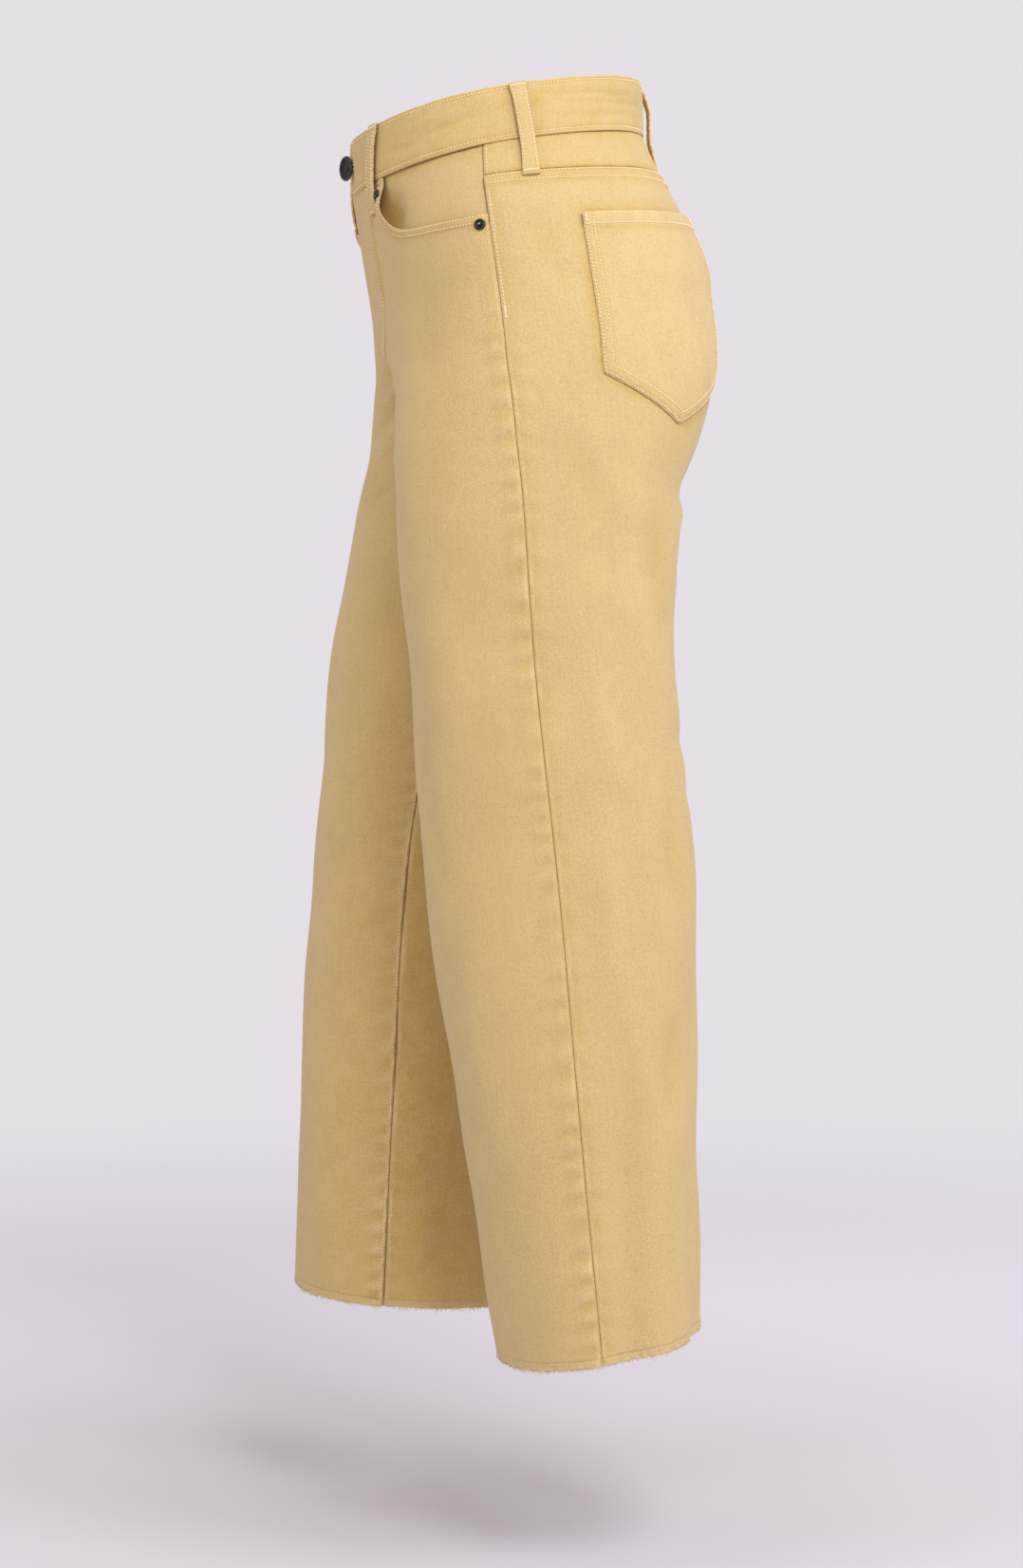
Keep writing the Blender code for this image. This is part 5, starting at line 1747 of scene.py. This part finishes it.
def hem_strip(side):
    """The woven strip: it starts inside the panels' cut edge and ends in a ragged line."""
    columns = 901
    shares = np.linspace(0, 2, columns)
    chance = np.random.default_rng(11 + side)
    ragged = 0.00035 * np.sin(130 * shares) * np.sin(37 * shares)
    ragged[:-1] += 0.00030 * chance.normal(size=columns - 1)
    ragged[-1] = ragged[0]
    first = HEM_DROP - FRAY_STRIP
    last = HEM_DROP - 0.0004 + np.clip(ragged, -0.0009, 0.0006)
    down = np.array([-0.75, -0.5, -0.25, 0, 0.15, 0.35, 0.6, 0.85, 1.0])[:, None]
    proud = np.array([-0.45, -0.10, 0.10, 0.13, 0.13, 0.12, 0.10, 0.05, 0.0])[:, None] / 1000
    drops = first + (last - first) * down
    wave = 0.0004 * np.maximum(down, 0) * np.sin(210 * shares + 2 * np.sin(40 * shares))
    points = hem_point(side, drops, np.broadcast_to(shares, drops.shape), wave + proud)
    points[:, -1] = points[:, 0]
    spot = cloth_at(side, first, shares)
    flat = pairs(spot.arc, -drops)
    paler = np.broadcast_to(np.clip(down, 0, 1) ** 2 * 0.8, drops.shape)
    seams = np.broadcast_to(bell(np.minimum(np.abs(spot.arc), spot.inner), 0.0010), drops.shape)
    name = sided("frayed_hem", side)
    strip = cloth_piece(name + "_strip", points, flat, side, HEM_CLOTH, CLOTH_WALL * 0.9,
                        (seams, paler))
    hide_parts(name)


def hem_fringe(side):
    """Short upright ends, longer and shorter in clumps, each bent its own way."""
    chance = np.random.default_rng(5 + side)
    count, t = 1050, np.linspace(0, 1, 6)
    share = np.mod((np.arange(count) + chance.uniform(-0.7, 0.7, count)) * 2 / count, 2.0)
    share = share[:, None]
    clump = 0.5 + 0.5 * np.sin(share * 61 + 2 * np.sin(share * 17))
    short, long = chance.random((count, 1)), chance.random((count, 1))
    reach = 0.0006 + 0.0016 * short ** 2 + 0.0030 * clump * long ** 4
    lean, curl, stand = (chance.normal(0.0, width, (count, 1)) * reach
                         for width in (0.8, 0.7, 0.45))
    root = HEM_DROP - 0.0016 + 0.0008 * chance.random((count, 1))
    start_lift = chance.uniform(-0.0011, 0.0002, (count, 1))
    over = lean * t ** 1.6 + curl * np.sin(2.4 * t * math.pi) * t * 0.5
    over = over / cloth_at(side, HEM_DROP, 2.0).arc
    paths = hem_point(side, root + (reach + 0.0012) * t, np.clip(share + over, 0.0, 2.0),
                      start_lift + stand * t ** 1.8)
    radii = (0.00016 + 0.00006 * chance.random((count, 1))) * (1 - 0.55 * t ** 2)
    yarn_piece("hem_fringe", side, paths, radii, 3)


def loose_yarns(side):
    """Two level yarns that run round the raw edge, in and out of the upright ones."""
    chance = np.random.default_rng(23 + side)
    steps, paths = 1301, []
    shares = np.linspace(0, 2, steps)
    for drop, start in ((HEM_DROP - 0.0009, 0.0), (HEM_DROP - 0.0001, 1.7)):
        wander = 0.00035 * np.sin(71 * shares + start) * np.sin(23 * shares + 2 * start)
        wander += 0.00016 * np.cumsum(chance.normal(0, 1, steps)) / 12
        wander -= np.linspace(wander[0], wander[-1], steps)
        lift = 0.00030 * np.sin(460 * shares + start) - 0.00035
        paths.append(hem_point(side, drop + np.clip(wander, -0.0009, 0.0010), shares, lift))
    yarn_piece("hem_yarns", side, np.stack(paths), np.full((2, steps), 0.00022), 5)


for half_side in (+1, -1):
    hem_strip(half_side)
    hem_fringe(half_side)
    loose_yarns(half_side)


# %% [markdown]
# ## Studio
# The jeans hang in the air over a plain pale floor. The floor is a disc that fades out towards
# its rim into a pale background, so that no edge or horizon shows from any side. The light is
# soft: the pale surroundings do most of the work, two large lamps give it a direction, and a
# weak third one opens the shade on the front.

# %% Floor, background and lamps
FLOOR_LEVEL = -1.09


def pale_floor():
    bench = Bench("pale_floor")
    away = bench.add("ShaderNodeVectorMath", {"operation": "LENGTH"}, {0: bench.place()}, output=1)
    tone = bench.colour(bench.spread(away, 1.0, 0.1), (0.700, 0.655, 0.680, 1.0),
                        (0.600, 0.555, 0.570, 1.0))
    bench.set(Base_Color=tone, Roughness=0.9, Alpha=bench.spread(away, 2.4, 1.0))
    count, spokes = 25, 96
    radii = np.linspace(0, 2.5, count + 1)[1:]
    turns = np.arange(spokes) * math.tau / spokes
    points = [(0.0, 0.0, 0.0)]
    points += [(r * math.cos(a), r * math.sin(a), 0.0) for r in radii for a in turns]
    rings = 1 + np.arange(count * spokes).reshape(count, spokes)
    after = np.roll(rings, -1, axis=1)
    faces = [(0, *pair) for pair in zip(rings[0].tolist(), after[0].tolist())]
    bands = np.stack([rings[:-1], rings[1:], after[1:], after[:-1]], axis=-1)
    faces += bands.reshape(-1, 4).tolist()
    mesh = bpy.data.meshes.new("floor")
    mesh.from_pydata(points, [], faces)
    mesh.materials.append(bench.material)
    floor = bpy.data.objects.new("floor", mesh)
    floor.location = (0.0, 0.0, FLOOR_LEVEL)
    bpy.context.scene.collection.objects.link(floor)


def aimed(thing, place, way):
    """Puts a lamp or a camera in its place and turns it to look along a way."""
    thing.location = place
    thing.rotation_mode = "QUATERNION"
    thing.rotation_quaternion = way.to_track_quat("-Z", "Y")
    bpy.context.scene.collection.objects.link(thing)


def lamp(name, place, aim, width, power, colour):
    light = bpy.data.lights.new(name, "AREA")
    light.shape, light.size, light.energy, light.color = "DISK", width, power, colour
    aimed(bpy.data.objects.new(name, light), place, Vector(aim) - Vector(place))


pale_floor()
world = bpy.data.worlds.new("pale_room")
world.use_nodes = True
world.node_tree.nodes["Background"].inputs["Color"].default_value = (0.775, 0.745, 0.791, 1.0)
world.node_tree.nodes["Background"].inputs["Strength"].default_value = 1.0
bpy.context.scene.world = world
bpy.context.scene.view_settings.view_transform = "Standard"
lamp("lamp_key", (1.8, 2.4, 1.6), (0, 0, -0.60), 1.5, 36.0, (0.955, 0.995, 1.12))
lamp("lamp_side", (2.0, 0.50, 1.5), (0, 0, -0.60), 1.2, 40.0, (0.960, 0.995, 1.10))
lamp("lamp_front", (0.6, -2.3, 1.0), (0, 0, -0.45), 1.6, 9.0, (0.970, 1.0, 1.10))

# %% [markdown]
# ## Camera
# The picture was taken level with the upper part of the legs, from the garment's left and a
# little to the front, with a long lens. A direction, a distance and a focal length bring the
# outline of the model onto the outline in the picture.

# %% Camera
AZIMUTH, DISTANCE, SIDEWAYS, EYE_LEVEL = math.radians(82.0), 2.647, 0.010, -0.404
FOCAL_PIXELS, IMAGE_HEIGHT, MIDDLE_ROW, HORIZON_ROW = 3600.0, 1652.0, 826.0, 669.0
SENSOR = 36.0
tilt_down = math.atan((MIDDLE_ROW - HORIZON_ROW) / FOCAL_PIXELS)
towards = Vector((math.sin(AZIMUTH), -math.cos(AZIMUTH), 0.0))
beside = Vector((math.cos(AZIMUTH), math.sin(AZIMUTH), 0.0))
camera_data = bpy.data.cameras.new("camera")
camera_data.sensor_width = SENSOR
camera_data.lens = SENSOR * FOCAL_PIXELS / IMAGE_HEIGHT
camera = bpy.data.objects.new("camera", camera_data)
aimed(camera, towards * DISTANCE + beside * SIDEWAYS + Vector((0.0, 0.0, EYE_LEVEL)),
      -towards * math.cos(tilt_down) + Vector((0.0, 0.0, -math.sin(tilt_down))))
bpy.context.scene.camera = camera
print("lens, mm:", round(camera_data.lens, 2))

# %% [markdown]
# ## Finish
# The dressed model must keep the size of the solid one. The last cell counts its pieces and faces.

# %% Pieces and faces
print("pieces:", len(ROOT_PIECES), "faces:", sum(len(p.data.polygons) for p in ROOT_PIECES))
